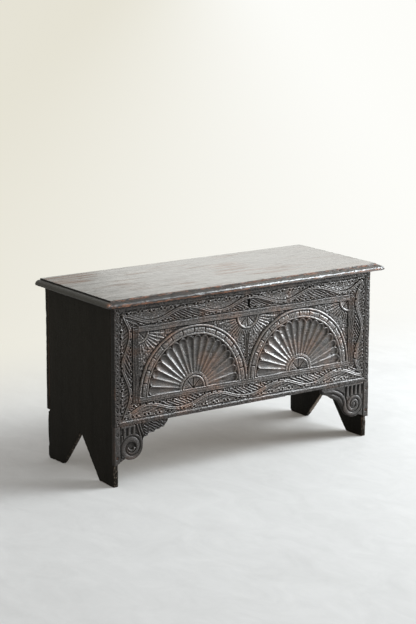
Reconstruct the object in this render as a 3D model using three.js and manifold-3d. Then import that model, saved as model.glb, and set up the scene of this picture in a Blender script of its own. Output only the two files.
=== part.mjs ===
import * as THREE from 'three';
import { mergeVertices } from 'three/addons/utils/BufferGeometryUtils.js';
import Module from 'manifold-3d';

const wasm = await Module();
wasm.setup();

// A boarded oak chest in millimetres: x along the front, y from the front face to the back, z up.

// Clearances
const seatGap = 0.2;
const runningGap = 0.4;
const housingGap = 0.3;

// Case boards
const caseLength = 996.5;
const caseDepth = 408.5;
const rimHeight = 568.4;
const frontThickness = 20;
const backThickness = 18;
const endThickness = 18;
const floorThickness = 15;
const frontBottom = 192;
const backBottom = 160;
const floorHeight = 206;
const floorHousing = 5;

// Feet, sawn out of the end boards
const footSetback = 10;
const footBackInset = 6.5;
const shoulderDrop = 7;
const footCutWidth = 222;
const footCutStart = 93;
const footCutHeight = 126.5;
const footCutLean = 6.5;
const footFlare = 22;
const kerfLength = 6;
const kerfWidth = 2.4;
const heelChamfer = 8;

// Lid
const lidThickness = 21.4;
const lidSideOverhang = 36;
const lidFrontOverhang = 26.2;
const lidBackInset = 2.1;
const thumbWidth = 16;
const thumbNosing = 6;
const thumbQuirk = 2.2;
const thumbFillet = 2.9;

// Carved front: margins, border channel and rails round the sunk panel
const sideMargin = 18;
const topMargin = 16;
const bottomMargin = 12;
const borderSide = 50;
const borderTop = 57;
const borderBottom = 52;
const railSide = 20;
const railTop = 17;
const railBottom = 16;
const borderSink = 3;
const panelSink = 6;
const carvingBase = 1;

// Wave ribbons in the border
const topWaves = 4;
const sideWaves = 2;
const ribbonWidth = 8;
const ribbonCrest = 2.6;
const ribbonSteps = 12;
const waveClearance = 9;

// Lunettes
const lunetteGap = 0.4;
const archSteps = 48;
const hubSteps = 24;
const rollWidth = 8.5;
const rollCrest = 5.6;
const blockWidth = 16.5;
const blockCrest = 4.6;
const blockBevel = 6;
const blockBevelDrop = 2;
const archBlocks = 14;
const blockCut = 2.2;
const blockCutRun = 0.7;
const beadWidth = 8.5;
const beadCrest = 4.8;
const landCrest = 4;
const quirkHeight = 1.4;
const hollows = 18;
const hollowDepth = 4.4;
const hollowLift = 0.4;
const hollowTipGap = 2.5;
const hollowFill = 0.93;
const hubRadius = 43;
const hubGroove = 2.5;
const hubLand = 6.5;
const rosetteRadius = 42;
const cornerRadius = 38;
const rimWidth = 6.5;
const dishRim = 3.4;
const dishFloor = 1.6;
const spokeWidth = 1.8;

// Brackets under the ends of the front
const bracketReach = 195;
const bracketDrop = 121.8;
const voluteInset = 61;
const voluteDrop = 70.5;
const voluteRadius = 42;
const eyeRadius = 20.5;
const grooveSize = 2.4;
const flutes = 5;
const fluteWidth = 10;
const fluteDepth = 4;
const fluteTopInset = 7;
const fluteBottomInset = 37;
const leafLobes = 5;
const leafLobeDepth = 5;

// Nails
const nailShankRadius = 1.8;
const nailHeadRadius = 4.4;
const nailHeadHeight = 1.6;
const nailSink = 1;
const nailLength = 44;
const nailGap = 0.15;
const leftNailDrop = 38.4;
const rightNailDrop = 28.4;
const frontNailRise = 54;
const leftNailShare = 0.81;
const rightNailShare = 0.66;
const backNailDrop = 45;
const backNailShare = 0.5;
const bracketNailInset = 24;

// Till at the left end
const tillWidth = 104;
const tillDepth = 94;
const tillSideThickness = 9;
const tillBottomThickness = 8;
const tillLidThickness = 9;
const tillTopDrop = 128;
const tillHousing = 3;
const pintleRadius = 4;
const pintleLength = 7;
const pintleInset = 7;
const tillLidOverhang = 5;

// Hinges
const hingeOffset = 300;
const strapLength = 236;
const strapWidth = 30;
const strapTipWidth = 15;
const strapThickness = 2.6;
const finialRadius = 13;
const leafLength = 128;
const tongueWidth = 12;
const knuckleRadius = 5.7;
const knuckleGap = 0.4;
const pinRadius = 3;
const pinHeadRadius = 4.6;
const pinHeadLength = 2.4;

// Lock
const keyX = 4;
const keyDrop = 41.4;
const keyRadius = 5;
const keySlotWidth = 4.8;
const keySlotDrop = 20.5;
const lockPlateThickness = 2.5;
const lockPlateLeft = 60;
const lockPlateTop = 33;
const lockPlateBottom = 36;
const lockCaseMargin = 10;
const lockCaseTopMargin = 6;
const lockCaseDepth = 26;
const lockCaseWall = 2;
const boltSection = 8;
const boltLength = 64;
const boltLeft = 34;
const boltRise = 15;
const boltTravel = 16;
const boltEndRoom = 8;
const talonWidth = 12;
const talonDepth = 3;
const guideWidth = 6;
const guideWall = 3;
const guideInset = 6;
const drillPinRadius = 2;
const stapleThickness = 5;
const stapleLeg = 4;
const stapleAway = 4;
const staplePlateMargin = 10;
const staplePlateThickness = 3;
const eyeSide = 1;
const eyeBelow = 3;
const slotMargin = 2.5;

// Derived places
const halfCase = caseLength / 2;
const endInner = halfCase - endThickness;
const backInner = caseDepth - backThickness;
const lidBottom = rimHeight + seatGap;
const lidTop = lidBottom + lidThickness;
const lidHalf = halfCase + lidSideOverhang;
const lidBack = caseDepth - lidBackInset;
const bracketTop = frontBottom - seatGap;
const bracketBottom = bracketTop - bracketDrop;
const footBack = caseDepth - footBackInset;
const borderOuterX = halfCase - sideMargin;
const borderInnerX = borderOuterX - borderSide;
const borderTopZ = rimHeight - topMargin;
const borderBottomZ = frontBottom + bottomMargin;
const railTopZ = borderTopZ - borderTop;
const railBottomZ = borderBottomZ + borderBottom;
const panelX = borderInnerX - railSide;
const panelTop = railTopZ - railTop;
const panelBottom = railBottomZ + railBottom;
const lunetteX = panelX / 2;
const lunetteRadius = Math.min(lunetteX, panelTop - panelBottom) - lunetteGap;
const blockOuter = lunetteRadius - rollWidth;
const blockInner = blockOuter - blockWidth;
const landRadius = blockInner - beadWidth;
const hingeY = caseDepth + knuckleRadius + housingGap;
const hingeZ = lidBottom - knuckleRadius - housingGap;
const tillTop = rimHeight - tillTopDrop;
const tillBottom = tillTop - tillDepth;
const tillSideX = -endInner + tillWidth;
const pintleX = -endInner + pintleInset;
const pintleZ = tillTop + seatGap + tillLidThickness / 2;
const keyZ = rimHeight - keyDrop;
const lockPlateY = frontThickness + seatGap;
const lockCaseY = lockPlateY + lockPlateThickness + seatGap;
const lockCaseInnerBack = lockCaseY + lockCaseDepth - lockCaseWall;
const boltY = (lockCaseY + lockCaseInnerBack) / 2;
const boltZ = keyZ + boltRise;
const boltTipX = keyX - boltLeft + boltLength;
const stapleX = boltTipX + stapleAway;
const lockCaseRight = boltTipX + boltTravel + boltEndRoom + lockCaseWall;

const oakDark = { color: 0x3b322b, roughness: 0.55, metalness: 0 };
const oakLid = { color: 0x6d6459, roughness: 0.5, metalness: 0 };
const oakInside = { color: 0x8a6b48, roughness: 0.75, metalness: 0 };
const iron = { color: 0x2e2b29, roughness: 0.6, metalness: 0.8 };

// A closed solid from a geometry, with its faces pointing out.
function solid(geometry) {
  geometry.deleteAttribute('normal');
  geometry.deleteAttribute('uv');
  const merged = mergeVertices(geometry, 1e-4);
  const vertProperties = new Float32Array(merged.attributes.position.array);
  const triVerts = new Uint32Array(merged.index.array);
  const shape = new wasm.Manifold(new wasm.Mesh({ numProp: 3, vertProperties, triVerts }));
  if (shape.volume() > 0) return shape;
  for (let i = 0; i < triVerts.length; i += 3) {
    [triVerts[i], triVerts[i + 1]] = [triVerts[i + 1], triVerts[i]];
  }
  return new wasm.Manifold(new wasm.Mesh({ numProp: 3, vertProperties, triVerts }));
}

function joined(pieces) {
  return pieces.reduce((whole, piece) => whole.add(piece));
}

function cutBy(body, tools) {
  return tools.reduce((rest, tool) => rest.subtract(tool), body);
}

function block(x0, x1, y0, y1, z0, z1) {
  const geometry = new THREE.BoxGeometry(x1 - x0, y1 - y0, z1 - z0);
  geometry.translate((x0 + x1) / 2, (y0 + y1) / 2, (z0 + z1) / 2);
  return solid(geometry);
}

function extruded(shape, depth, curveSegments) {
  return new THREE.ExtrudeGeometry(shape, { depth, bevelEnabled: false, curveSegments });
}

const alongX = new THREE.Vector3(1, 0, 0);
const alongY = new THREE.Vector3(0, 1, 0);
const alongZ = new THREE.Vector3(0, 0, 1);
const againstY = new THREE.Vector3(0, -1, 0);

// An outline in y and z, extruded along x.
function prismX(outline, x0, x1, curveSegments = 8) {
  const geometry = extruded(outline, x1 - x0, curveSegments);
  geometry.applyMatrix4(new THREE.Matrix4().makeBasis(alongY, alongZ, alongX));
  geometry.translate(x0, 0, 0);
  return solid(geometry);
}

// An outline in x and z, extruded along y.
function prismY(outline, y0, y1, curveSegments = 8) {
  const geometry = extruded(outline, y1 - y0, curveSegments);
  geometry.applyMatrix4(new THREE.Matrix4().makeBasis(alongX, alongZ, againstY));
  geometry.translate(0, y1, 0);
  return solid(geometry);
}

function polygon(points) {
  return new THREE.Shape(points.map(([a, b]) => new THREE.Vector2(a, b)));
}

function disc(a, b, radius) {
  const shape = new THREE.Shape();
  shape.absarc(a, b, radius, 0, Math.PI * 2);
  return shape;
}

// A profile of radius and height turned about an axis that starts at a place and runs along a direction.
function turned(profile, steps, place, direction, flatten = 1) {
  const points = profile.map(([radius, height]) => new THREE.Vector2(radius, height));
  const geometry = new THREE.LatheGeometry(points, steps);
  geometry.scale(1, 1, flatten);
  const side = new THREE.Vector3().crossVectors(direction, alongY);
  if (side.lengthSq() < 0.5) side.copy(alongX);
  const depth = new THREE.Vector3().crossVectors(side, direction);
  geometry.applyMatrix4(new THREE.Matrix4().makeBasis(side, direction, depth));
  geometry.translate(place[0], place[1], place[2]);
  return solid(geometry);
}

function mesh(name, body, look) {
  const made = body.getMesh();
  const geometry = new THREE.BufferGeometry();
  geometry.setAttribute('position', new THREE.BufferAttribute(made.vertProperties, 3));
  geometry.setIndex(new THREE.BufferAttribute(made.triVerts, 1));
  geometry.computeVertexNormals();
  const piece = new THREE.Mesh(geometry, new THREE.MeshStandardMaterial(look));
  piece.name = name;
  return piece;
}

// Lid: a wide board with a thumb moulding on its front and both ends, square at the back.
function lidEdge(outline, edge, inward) {
  const shoulder = edge + inward * thumbWidth;
  const arris = edge + inward * (thumbWidth + thumbFillet);
  const rise = lidThickness - thumbQuirk - thumbNosing;
  outline.lineTo(edge, lidBottom + thumbNosing);
  const turns = 6;
  for (let i = 1; i <= turns; i++) {
    const angle = (i / turns) * Math.PI / 2;
    const across = edge + inward * thumbWidth * (1 - Math.cos(angle));
    outline.lineTo(across, lidBottom + thumbNosing + rise * Math.sin(angle));
  }
  outline.lineTo(shoulder + inward * thumbFillet / 2, lidTop - thumbQuirk);
  outline.lineTo(arris, lidTop);
}

function lidBoard() {
  const across = new THREE.Shape();
  across.moveTo(lidBack, lidBottom);
  across.lineTo(-lidFrontOverhang, lidBottom);
  lidEdge(across, -lidFrontOverhang, 1);
  across.lineTo(lidBack, lidTop);
  const along = new THREE.Shape();
  along.moveTo(-lidHalf, lidBottom);
  lidEdge(along, -lidHalf, 1);
  const right = new THREE.Shape();
  right.moveTo(lidHalf, lidBottom);
  lidEdge(right, lidHalf, -1);
  right.getPoints().reverse().forEach((point) => along.lineTo(point.x, point.y));
  return prismX(across, -lidHalf, lidHalf).intersect(prismY(along, -lidFrontOverhang, lidBack));
}

// Front board: a sunk panel with two lunettes, framed by a border channel with wave ribbons.
// A half disc or ring that stands on the panel's ground, from a profile of radius and height.
function raised(profile, centreX, centreZ, steps) {
  return turned(profile, steps, [centreX, panelSink, centreZ], againstY);
}

// A round moulding between two radii, as profile points.
function rollProfile(inner, outer, low, crest, bends) {
  const half = (outer - inner) / 2;
  return Array.from({ length: bends + 1 }, (_, i) => {
    const angle = Math.PI * i / bends;
    return [inner + half * (1 - Math.cos(angle)), low + (crest - low) * Math.sin(angle)];
  });
}

// Straight cuts that run out from a centre between two radii, each at its own angle.
function radialCuts(centreX, centreZ, angles, inner, outer, width, floor) {
  return angles.map((angle) => {
    const deep = panelSink - floor + 1;
    const geometry = new THREE.BoxGeometry(outer - inner, deep, width);
    geometry.translate((inner + outer) / 2, panelSink - floor - deep / 2, 0);
    geometry.rotateY(-angle);
    geometry.translate(centreX, 0, centreZ);
    return solid(geometry);
  });
}

function between(start, end, count) {
  return Array.from({ length: count }, (_, i) => start + (end - start) * (i + 1) / (count + 1));
}

// A hollow flute: a tapered spindle that lies half in the land, with its round end outwards.
function hollow(centreX, angle, inner, outer, halfAngle) {
  const spread = Math.tan(halfAngle) * hollowFill;
  const widest = outer / (1 + spread);
  const profile = [[0, inner], [inner * spread, inner], [widest * spread, widest]];
  const tipTurns = 3;
  for (let i = 1; i < tipTurns; i++) {
    const turn = (i / tipTurns) * Math.PI / 2;
    profile.push([widest * spread * Math.cos(turn), widest * (1 + spread * Math.sin(turn))]);
  }
  profile.push([0, outer]);
  const direction = new THREE.Vector3(Math.cos(angle), 0, Math.sin(angle));
  const place = [centreX, panelSink - landCrest - hollowLift, panelBottom];
  return turned(profile, 8, place, direction, hollowDepth / (widest * spread));
}

// A dished rosette with a round rim and straight spokes.
function rosette(centreX, centreZ, radius, spokes, steps) {
  const inside = radius - rimWidth;
  const body = raised([
    [0, -carvingBase], [0, dishFloor], [inside / 2, dishFloor],
    ...rollProfile(inside, radius, dishRim, beadCrest, 3),
    [radius, -carvingBase], [0, -carvingBase],
  ], centreX, centreZ, steps);
  return cutBy(body, radialCuts(centreX, centreZ, spokes, 0, inside, spokeWidth, dishFloor / 2));
}

function lunette(centreX) {
  const body = raised([
    [0, -carvingBase], [0, landCrest], [landRadius, landCrest],
    ...rollProfile(landRadius, blockInner, quirkHeight, beadCrest, 3),
    [blockInner, blockCrest], [blockOuter - blockBevel, blockCrest],
    [blockOuter, blockCrest - blockBevelDrop],
    ...rollProfile(blockOuter, lunetteRadius, quirkHeight, rollCrest, 5),
    [lunetteRadius, -carvingBase], [0, -carvingBase],
  ], centreX, panelBottom, archSteps);
  const step = Math.PI / hollows;
  const cuts = Array.from({ length: hollows }, (_, i) => hollow(
    centreX, step * (i + 0.5), hubRadius + hubGroove + hubLand, landRadius - hollowTipGap, step / 2,
  ));
  const wellRadius = hubRadius + hubGroove;
  const well = raised([
    [0, quirkHeight], [wellRadius, quirkHeight], [wellRadius, panelSink], [0, panelSink],
  ], centreX, panelBottom, hubSteps);
  const joints = radialCuts(
    centreX, panelBottom, between(0, Math.PI, archBlocks - 1),
    blockInner - blockCutRun, blockOuter + blockCutRun, blockCut, blockCrest / 2,
  );
  return joined([
    cutBy(body, [...cuts, well, ...joints]),
    rosette(centreX, panelBottom, hubRadius, between(0, Math.PI, 3), hubSteps),
  ]);
}

function panelCarving() {
  const whole = joined([
    lunette(-lunetteX),
    lunette(lunetteX),
    rosette(0, panelTop, rosetteRadius, between(Math.PI, 2 * Math.PI, 3), hubSteps),
    rosette(-panelX, panelTop, cornerRadius, between(-Math.PI / 2, 0, 1), hubSteps),
    rosette(panelX, panelTop, cornerRadius, between(Math.PI, Math.PI * 1.5, 1), hubSteps),
  ]);
  const trim = carvingBase / 2;
  return whole.intersect(block(
    -panelX - trim, panelX + trim, 0, frontThickness / 2 + panelSink / 2,
    panelBottom - trim, panelTop + trim,
  ));
}

// A ribbon that follows a cosine wave, as an outline of two offset lines.
function waveOutline(start, end, middle, amplitude, waves, place) {
  const steps = waves * ribbonSteps;
  const edge = (offset, reverse) => {
    const points = [];
    for (let i = 0; i <= steps; i++) {
      const at = reverse ? steps - i : i;
      const along = start + (end - start) * at / steps;
      const across = middle + amplitude * Math.cos(2 * Math.PI * waves * at / steps) + offset;
      points.push(place(along, across));
    }
    return points;
  };
  return polygon([...edge(-ribbonWidth / 2, false), ...edge(ribbonWidth / 2, true)]);
}

function borderRibbons() {
  const low = borderSink + carvingBase;
  const high = borderSink - ribbonCrest;
  const topMiddle = borderTopZ - borderTop / 2;
  const bottomMiddle = borderBottomZ + borderBottom / 2;
  const sideMiddle = borderInnerX + borderSide / 2;
  const flat = (along, across) => [along, across];
  const upright = (along, across) => [across, along];
  const swing = (width) => width / 2 - waveClearance;
  const reach = borderOuterX - waveClearance;
  const outlines = [
    waveOutline(-reach, reach, topMiddle, swing(borderTop), topWaves, flat),
    waveOutline(-reach, reach, bottomMiddle, -swing(borderBottom), topWaves, flat),
    waveOutline(railBottomZ, railTopZ, -sideMiddle, swing(borderSide), sideWaves, upright),
    waveOutline(railBottomZ, railTopZ, sideMiddle, -swing(borderSide), sideWaves, upright),
  ];
  return joined(outlines.map((outline) => prismY(outline, high, low)));
}

function keyholeOutline() {
  const half = keySlotWidth / 2;
  const opening = Math.asin(half / keyRadius);
  const outline = new THREE.Shape();
  outline.moveTo(keyX - half, keyZ - keySlotDrop);
  outline.lineTo(keyX + half, keyZ - keySlotDrop);
  outline.absarc(keyX, keyZ, keyRadius, opening - Math.PI / 2, Math.PI * 1.5 - opening);
  return outline;
}

function nailPlaces() {
  const column = halfCase - endThickness / 2;
  const row = (name, x, facing, low, high, share) => [
    [`${name}_1`, x, high, facing],
    [`${name}_2`, x, low + (high - low) * share, facing],
    [`${name}_3`, x, low, facing],
  ];
  const frontLow = frontBottom + frontNailRise;
  const backLow = floorHeight + floorThickness / 2;
  const backHigh = rimHeight - backNailDrop;
  const places = [
    ...row('front_nail_left', -column, 1, frontLow, rimHeight - leftNailDrop, leftNailShare),
    ...row('front_nail_right', column, 1, frontLow, rimHeight - rightNailDrop, rightNailShare),
    ...row('back_nail_left', -column, -1, backLow, backHigh, backNailShare),
    ...row('back_nail_right', column, -1, backLow, backHigh, backNailShare),
  ];
  for (const [name, x] of [['bracket_nail_left', -column], ['bracket_nail_right', column]]) {
    places.push([`${name}_1`, x, bracketTop - bracketNailInset, 1]);
    places.push([`${name}_2`, x, bracketBottom + bracketNailInset, 1]);
  }
  return places;
}

// A nail driven inwards from the front or back face, or, with a gap, the hole that it fills.
function nailSolid(x, z, facing, gap) {
  const headRadius = nailHeadRadius + gap;
  const shankRadius = nailShankRadius + gap;
  const headBack = -nailSink - nailHeadHeight - gap;
  const headTop = gap > 0 ? nailSink : -nailSink;
  const point = -nailLength - gap;
  const profile = [[0, point], [shankRadius, point + 4], [shankRadius, headBack], [headRadius, headBack]];
  if (gap > 0) profile.push([headRadius, headTop], [0, headTop]);
  else profile.push([headRadius * 0.7, headTop - nailHeadHeight / 4], [0, headTop]);
  const face = facing > 0 ? 0 : caseDepth;
  const outward = new THREE.Vector3(0, -facing, 0);
  return turned(profile, 8, [x, face, z], outward);
}

function nailHoles(prefixes) {
  return nailPlaces()
    .filter(([name]) => prefixes.some((prefix) => name.startsWith(prefix)))
    .map(([, x, z, facing]) => nailSolid(x, z, facing, nailGap));
}

// Shallow housings for the till's side and bottom, and the pintle's hole, in a board at one y face.
function tillHousings(face, inward) {
  const deep = face - inward * (tillHousing + housingGap);
  const span = [Math.min(face, deep), Math.max(face, deep)];
  const grow = housingGap / 2;
  const side = block(
    tillSideX - grow, tillSideX + tillSideThickness + grow, ...span,
    tillBottom - tillBottomThickness - grow, tillTop + grow,
  );
  const bottom = block(
    -endInner, tillSideX, ...span,
    tillBottom - tillBottomThickness - grow, tillBottom + grow,
  );
  const holeEnd = face - inward * (pintleLength + 2 * housingGap);
  const hole = prismY(
    disc(pintleX, pintleZ, pintleRadius + runningGap), Math.min(face, holeEnd), Math.max(face, holeEnd),
  );
  return [side, bottom, hole];
}

function frontBoard() {
  const plank = block(-halfCase, halfCase, 0, frontThickness, frontBottom, rimHeight);
  const channel = block(-borderOuterX, borderOuterX, -1, borderSink, borderBottomZ, borderTopZ)
    .subtract(block(-borderInnerX, borderInnerX, -2, panelSink, railBottomZ, railTopZ));
  const panel = block(-panelX, panelX, -1, panelSink, panelBottom, panelTop);
  const carved = joined([cutBy(plank, [channel, panel]), panelCarving(), borderRibbons()]);
  const keyhole = prismY(keyholeOutline(), -1, frontThickness + 1, 6);
  return cutBy(carved, [keyhole, ...tillHousings(frontThickness, 1), ...nailHoles(['front'])]);
}

// Back board, with shallow notches in its top edge for the hinge tongues.
function backBoard() {
  const plank = block(-halfCase, halfCase, backInner + seatGap, caseDepth, backBottom, rimHeight);
  const half = tongueWidth / 2 + 2 * runningGap;
  const depth = strapThickness + 2 * runningGap;
  const notches = [-hingeOffset, hingeOffset].map((x) => block(
    x - half, x + half, backInner, caseDepth + 1, rimHeight - depth, rimHeight + 1,
  ));
  return cutBy(plank, [...notches, ...tillHousings(backInner + seatGap, -1), ...nailHoles(['back'])]);
}

// End board outline: two feet either side of a sawn cut-out, and notches for the front and back boards.
function endOutline() {
  const apexY = footCutStart + footCutWidth / 2 - footCutLean;
  const run = apexY - footCutStart;
  const reach = Math.hypot(run, footCutHeight);
  const alongCut = [run / reach, footCutHeight / reach];
  const kerfY = apexY + alongCut[0] * kerfLength;
  const kerfZ = footCutHeight + alongCut[1] * kerfLength;
  const rear = footCutStart + footCutWidth;
  const frontNotch = frontThickness + seatGap;
  const outline = new THREE.Shape();
  outline.moveTo(footSetback, 0);
  outline.lineTo(footCutStart, 0);
  outline.lineTo(apexY - kerfWidth / 2, footCutHeight);
  outline.lineTo(kerfY - kerfWidth / 2, kerfZ);
  outline.lineTo(kerfY + kerfWidth / 2, kerfZ);
  outline.lineTo(apexY + kerfWidth, footCutHeight);
  const flareShare = footFlare / footCutHeight;
  outline.lineTo(rear - (rear - apexY) * flareShare - footFlare / 2, footFlare);
  outline.quadraticCurveTo(rear - footFlare / 2, footFlare / 8, rear + footFlare / 3, 0);
  outline.lineTo(footBack - heelChamfer, 0);
  outline.lineTo(footBack, heelChamfer);
  outline.lineTo(footBack, backBottom - shoulderDrop);
  outline.lineTo(backInner, backBottom - seatGap);
  outline.lineTo(backInner, rimHeight);
  outline.lineTo(frontNotch, rimHeight);
  outline.lineTo(frontNotch, bracketBottom - seatGap);
  outline.lineTo(footSetback, bracketBottom - seatGap);
  return outline;
}

function endBoard(side) {
  const inner = side * endInner;
  const outer = side * halfCase;
  const plank = prismX(endOutline(), Math.min(inner, outer), Math.max(inner, outer), 5);
  const deep = inner + side * (floorHousing + housingGap);
  const housing = block(
    Math.min(inner, deep), Math.max(inner, deep), frontThickness, backInner + seatGap,
    floorHeight - housingGap / 2, floorHeight + floorThickness + housingGap / 2,
  );
  const word = side < 0 ? 'left' : 'right';
  const holes = nailHoles(['front', 'back', 'bracket'].map((row) => `${row}_nail_${word}`));
  return cutBy(plank, [housing, ...holes]);
}

function floorBoard() {
  const reach = endInner + floorHousing;
  return block(
    -reach, reach, frontThickness + seatGap, backInner,
    floorHeight, floorHeight + floorThickness,
  );
}

// A round groove along a line on the face of the front.
function groove(curve, steps, size = grooveSize) {
  const section = disc(0, 0, size);
  const geometry = new THREE.ExtrudeGeometry(section, { steps, curveSegments: 3, extrudePath: curve });
  return solid(geometry);
}

function ringGroove(x, z, radius) {
  const profile = [];
  const sides = 6;
  for (let i = 0; i <= sides; i++) {
    const angle = -2 * Math.PI * (i % sides) / sides;
    profile.push([radius + grooveSize * Math.cos(angle), grooveSize * Math.sin(angle)]);
  }
  return turned(profile, 28, [x, 0, z], againstY);
}

// A groove along part of a circle, counted from the +x side.
function arcGroove(x, z, radius, start, end) {
  const points = [];
  const steps = 16;
  for (let i = 0; i <= steps; i++) {
    const angle = start + (end - start) * i / steps;
    points.push(new THREE.Vector3(x + radius * Math.cos(angle), 0, z + radius * Math.sin(angle)));
  }
  return groove(new THREE.CatmullRomCurve3(points), steps + 4);
}

function flute(x, bottom, top) {
  const length = top - bottom;
  const half = fluteWidth / 2;
  const profile = [[0, 0], [half * 0.7, half * 0.35], [half, half], [half, length - half]];
  profile.push([half * 0.7, length - half * 0.35], [0, length]);
  return turned(profile, 8, [x, 0, bottom], alongZ, fluteDepth / half);
}

function fluteRow(first, last) {
  const top = bracketTop - fluteTopInset;
  const cuts = [];
  for (let i = 0; i < flutes; i++) {
    const x = first + (last - first) * i / (flutes - 1);
    cuts.push(flute(x, bracketTop - fluteBottomInset, top));
  }
  return cuts;
}

function degrees(value) {
  return value * Math.PI / 180;
}

// Right bracket: a smooth moulding that sweeps down from its tip and rolls up into a volute.
function rightBracket() {
  const outer = halfCase;
  const tip = outer - bracketReach;
  const x = outer - voluteInset;
  const z = bracketTop - voluteDrop;
  const outline = new THREE.Shape();
  outline.moveTo(outer, bracketTop);
  outline.lineTo(tip, bracketTop);
  outline.bezierCurveTo(tip + 3, bracketTop - 26, tip + 14, bracketTop - 26, tip + 30, bracketTop - 27);
  outline.bezierCurveTo(tip + 48, bracketTop - 32, tip + 45, bracketTop - 42, tip + 66, bracketTop - 45);
  const from = degrees(205);
  const entry = [x + voluteRadius * Math.cos(from), z + voluteRadius * Math.sin(from)];
  outline.quadraticCurveTo(entry[0] - 12, entry[1] + 26, entry[0], entry[1]);
  outline.absarc(x, z, voluteRadius, from, degrees(298), false);
  outline.quadraticCurveTo(outer - 24, bracketBottom + 8, outer, bracketBottom);
  const sweep = new THREE.CatmullRomCurve3([
    new THREE.Vector3(tip + 26, 0, bracketTop - 13),
    new THREE.Vector3(tip + 50, 0, bracketTop - 16),
    new THREE.Vector3(tip + 86, 0, bracketTop - 34),
    new THREE.Vector3(x - eyeRadius * 1.35, 0, z + eyeRadius * 0.9),
    new THREE.Vector3(x - eyeRadius, 0, z),
  ]);
  return cutBy(prismY(outline, 0, frontThickness, 10), [
    ringGroove(x, z, eyeRadius),
    groove(sweep, 16),
    arcGroove(x, z, voluteRadius - grooveSize, degrees(-58), degrees(118)),
    ...fluteRow(x - 30, x + 34),
    ...nailHoles(['bracket_nail_right']),
  ]);
}

// Left bracket: a straight stem, a volute beside it and a leaf with a stepped lower edge.
function leftBracket() {
  const outer = -halfCase;
  const tip = outer + bracketReach;
  const x = outer + voluteInset;
  const z = bracketTop - voluteDrop;
  const radius = voluteRadius - 2;
  const start = degrees(24);
  const root = [x + radius * Math.cos(start), z + radius * Math.sin(start)];
  const outline = new THREE.Shape();
  outline.moveTo(outer, bracketTop);
  outline.lineTo(outer, bracketBottom);
  outline.quadraticCurveTo(outer + 18, bracketBottom + 4, outer + 34, bracketBottom + 16);
  outline.absarc(x, z, radius, degrees(236), start, false);
  for (let i = 0; i < leafLobes; i++) {
    const near = i / leafLobes;
    const far = (i + 1) / leafLobes;
    const mix = (share) => [root[0] + (tip - root[0]) * share, root[1] + (bracketTop - 8 - root[1]) * share];
    const [ax, az] = mix(near);
    const [bx, bz] = mix(far);
    outline.quadraticCurveTo((ax + bx) / 2 + 3, (az + bz) / 2 - 2 * leafLobeDepth, bx, bz);
    if (i < leafLobes - 1) outline.lineTo(bx - 2, bz + leafLobeDepth / 2);
    else outline.lineTo(tip, bracketTop);
    if (ax > bx) break;
  }
  const stem = new THREE.LineCurve3(
    new THREE.Vector3(outer + 24, 0, bracketTop - 30),
    new THREE.Vector3(outer + 24, 0, bracketBottom + 22),
  );
  return cutBy(prismY(outline, 0, frontThickness, 10), [
    ringGroove(x, z, eyeRadius + 1),
    arcGroove(x, z, radius - grooveSize, degrees(30), degrees(226)),
    groove(stem, 1),
    ...fluteRow(x - 26, x + 34),
    ...nailHoles(['bracket_nail_left']),
  ]);
}

// Till: a side board and a bottom housed in the front and back boards, under a lid on wooden pintles.
function tillSide() {
  return block(
    tillSideX, tillSideX + tillSideThickness,
    frontThickness - tillHousing, backInner + seatGap + tillHousing,
    tillBottom - tillBottomThickness, tillTop,
  );
}

function tillBottomBoard() {
  return block(
    -endInner + seatGap, tillSideX - seatGap,
    frontThickness - tillHousing, backInner + seatGap + tillHousing,
    tillBottom - tillBottomThickness, tillBottom,
  );
}

function tillLid() {
  const bottom = tillTop + seatGap;
  const half = tillLidThickness / 2;
  const far = tillSideX + tillSideThickness + tillLidOverhang;
  const outline = new THREE.Shape();
  outline.moveTo(pintleX, bottom);
  outline.lineTo(far - half / 2, bottom);
  outline.lineTo(far, bottom + half / 2);
  outline.lineTo(far, bottom + tillLidThickness - half / 2);
  outline.lineTo(far - half / 2, bottom + tillLidThickness);
  outline.lineTo(pintleX, bottom + tillLidThickness);
  outline.absarc(pintleX, pintleZ, half, Math.PI / 2, Math.PI * 1.5);
  const ends = [frontThickness + 1, backInner - 1];
  const pintle = disc(pintleX, pintleZ, pintleRadius);
  return joined([
    prismY(outline, ...ends),
    prismY(pintle, frontThickness - pintleLength, ends[0] + 1),
    prismY(pintle, ends[1] - 1, backInner + seatGap + pintleLength),
  ]);
}

// A tapering strap that ends in a round finial, as half-widths at distances from the hinge.
function strapOutline(start, length, wide, narrow) {
  const outline = new THREE.Shape();
  const neck = length - 2 * finialRadius;
  const opening = Math.asin(narrow / 2 / finialRadius);
  outline.moveTo(-wide / 2, start);
  outline.lineTo(-narrow / 2, neck);
  const turn = Math.PI / 2 - opening;
  outline.absarc(0, length - finialRadius, finialRadius, Math.PI + turn, -turn, true);
  outline.lineTo(narrow / 2, neck);
  outline.lineTo(wide / 2, start);
  return outline;
}

function knuckle(x0, x1) {
  return prismX(disc(hingeY, hingeZ, knuckleRadius), x0, x1, 16);
}

function hingeBore(x0, x1) {
  return prismX(disc(hingeY, hingeZ, pinRadius + runningGap), x0, x1, 16);
}

// Lid strap, flat under the lid, with a narrow tongue over the back board to its knuckle.
function lidStrap(x) {
  const tongueEnd = caseDepth - backThickness - 2;
  const strap = strapOutline(0, strapLength, strapWidth, strapTipWidth);
  const geometry = extruded(strap, strapThickness, 6);
  geometry.rotateX(Math.PI);
  const high = lidBottom - seatGap;
  geometry.translate(x, tongueEnd, high);
  const half = tongueWidth / 2;
  return joined([
    solid(geometry),
    block(x - half, x + half, tongueEnd - 1, hingeY, high - strapThickness, high),
    knuckle(x - half, x + half),
  ]).subtract(hingeBore(x - half - 1, x + half + 1));
}

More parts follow.
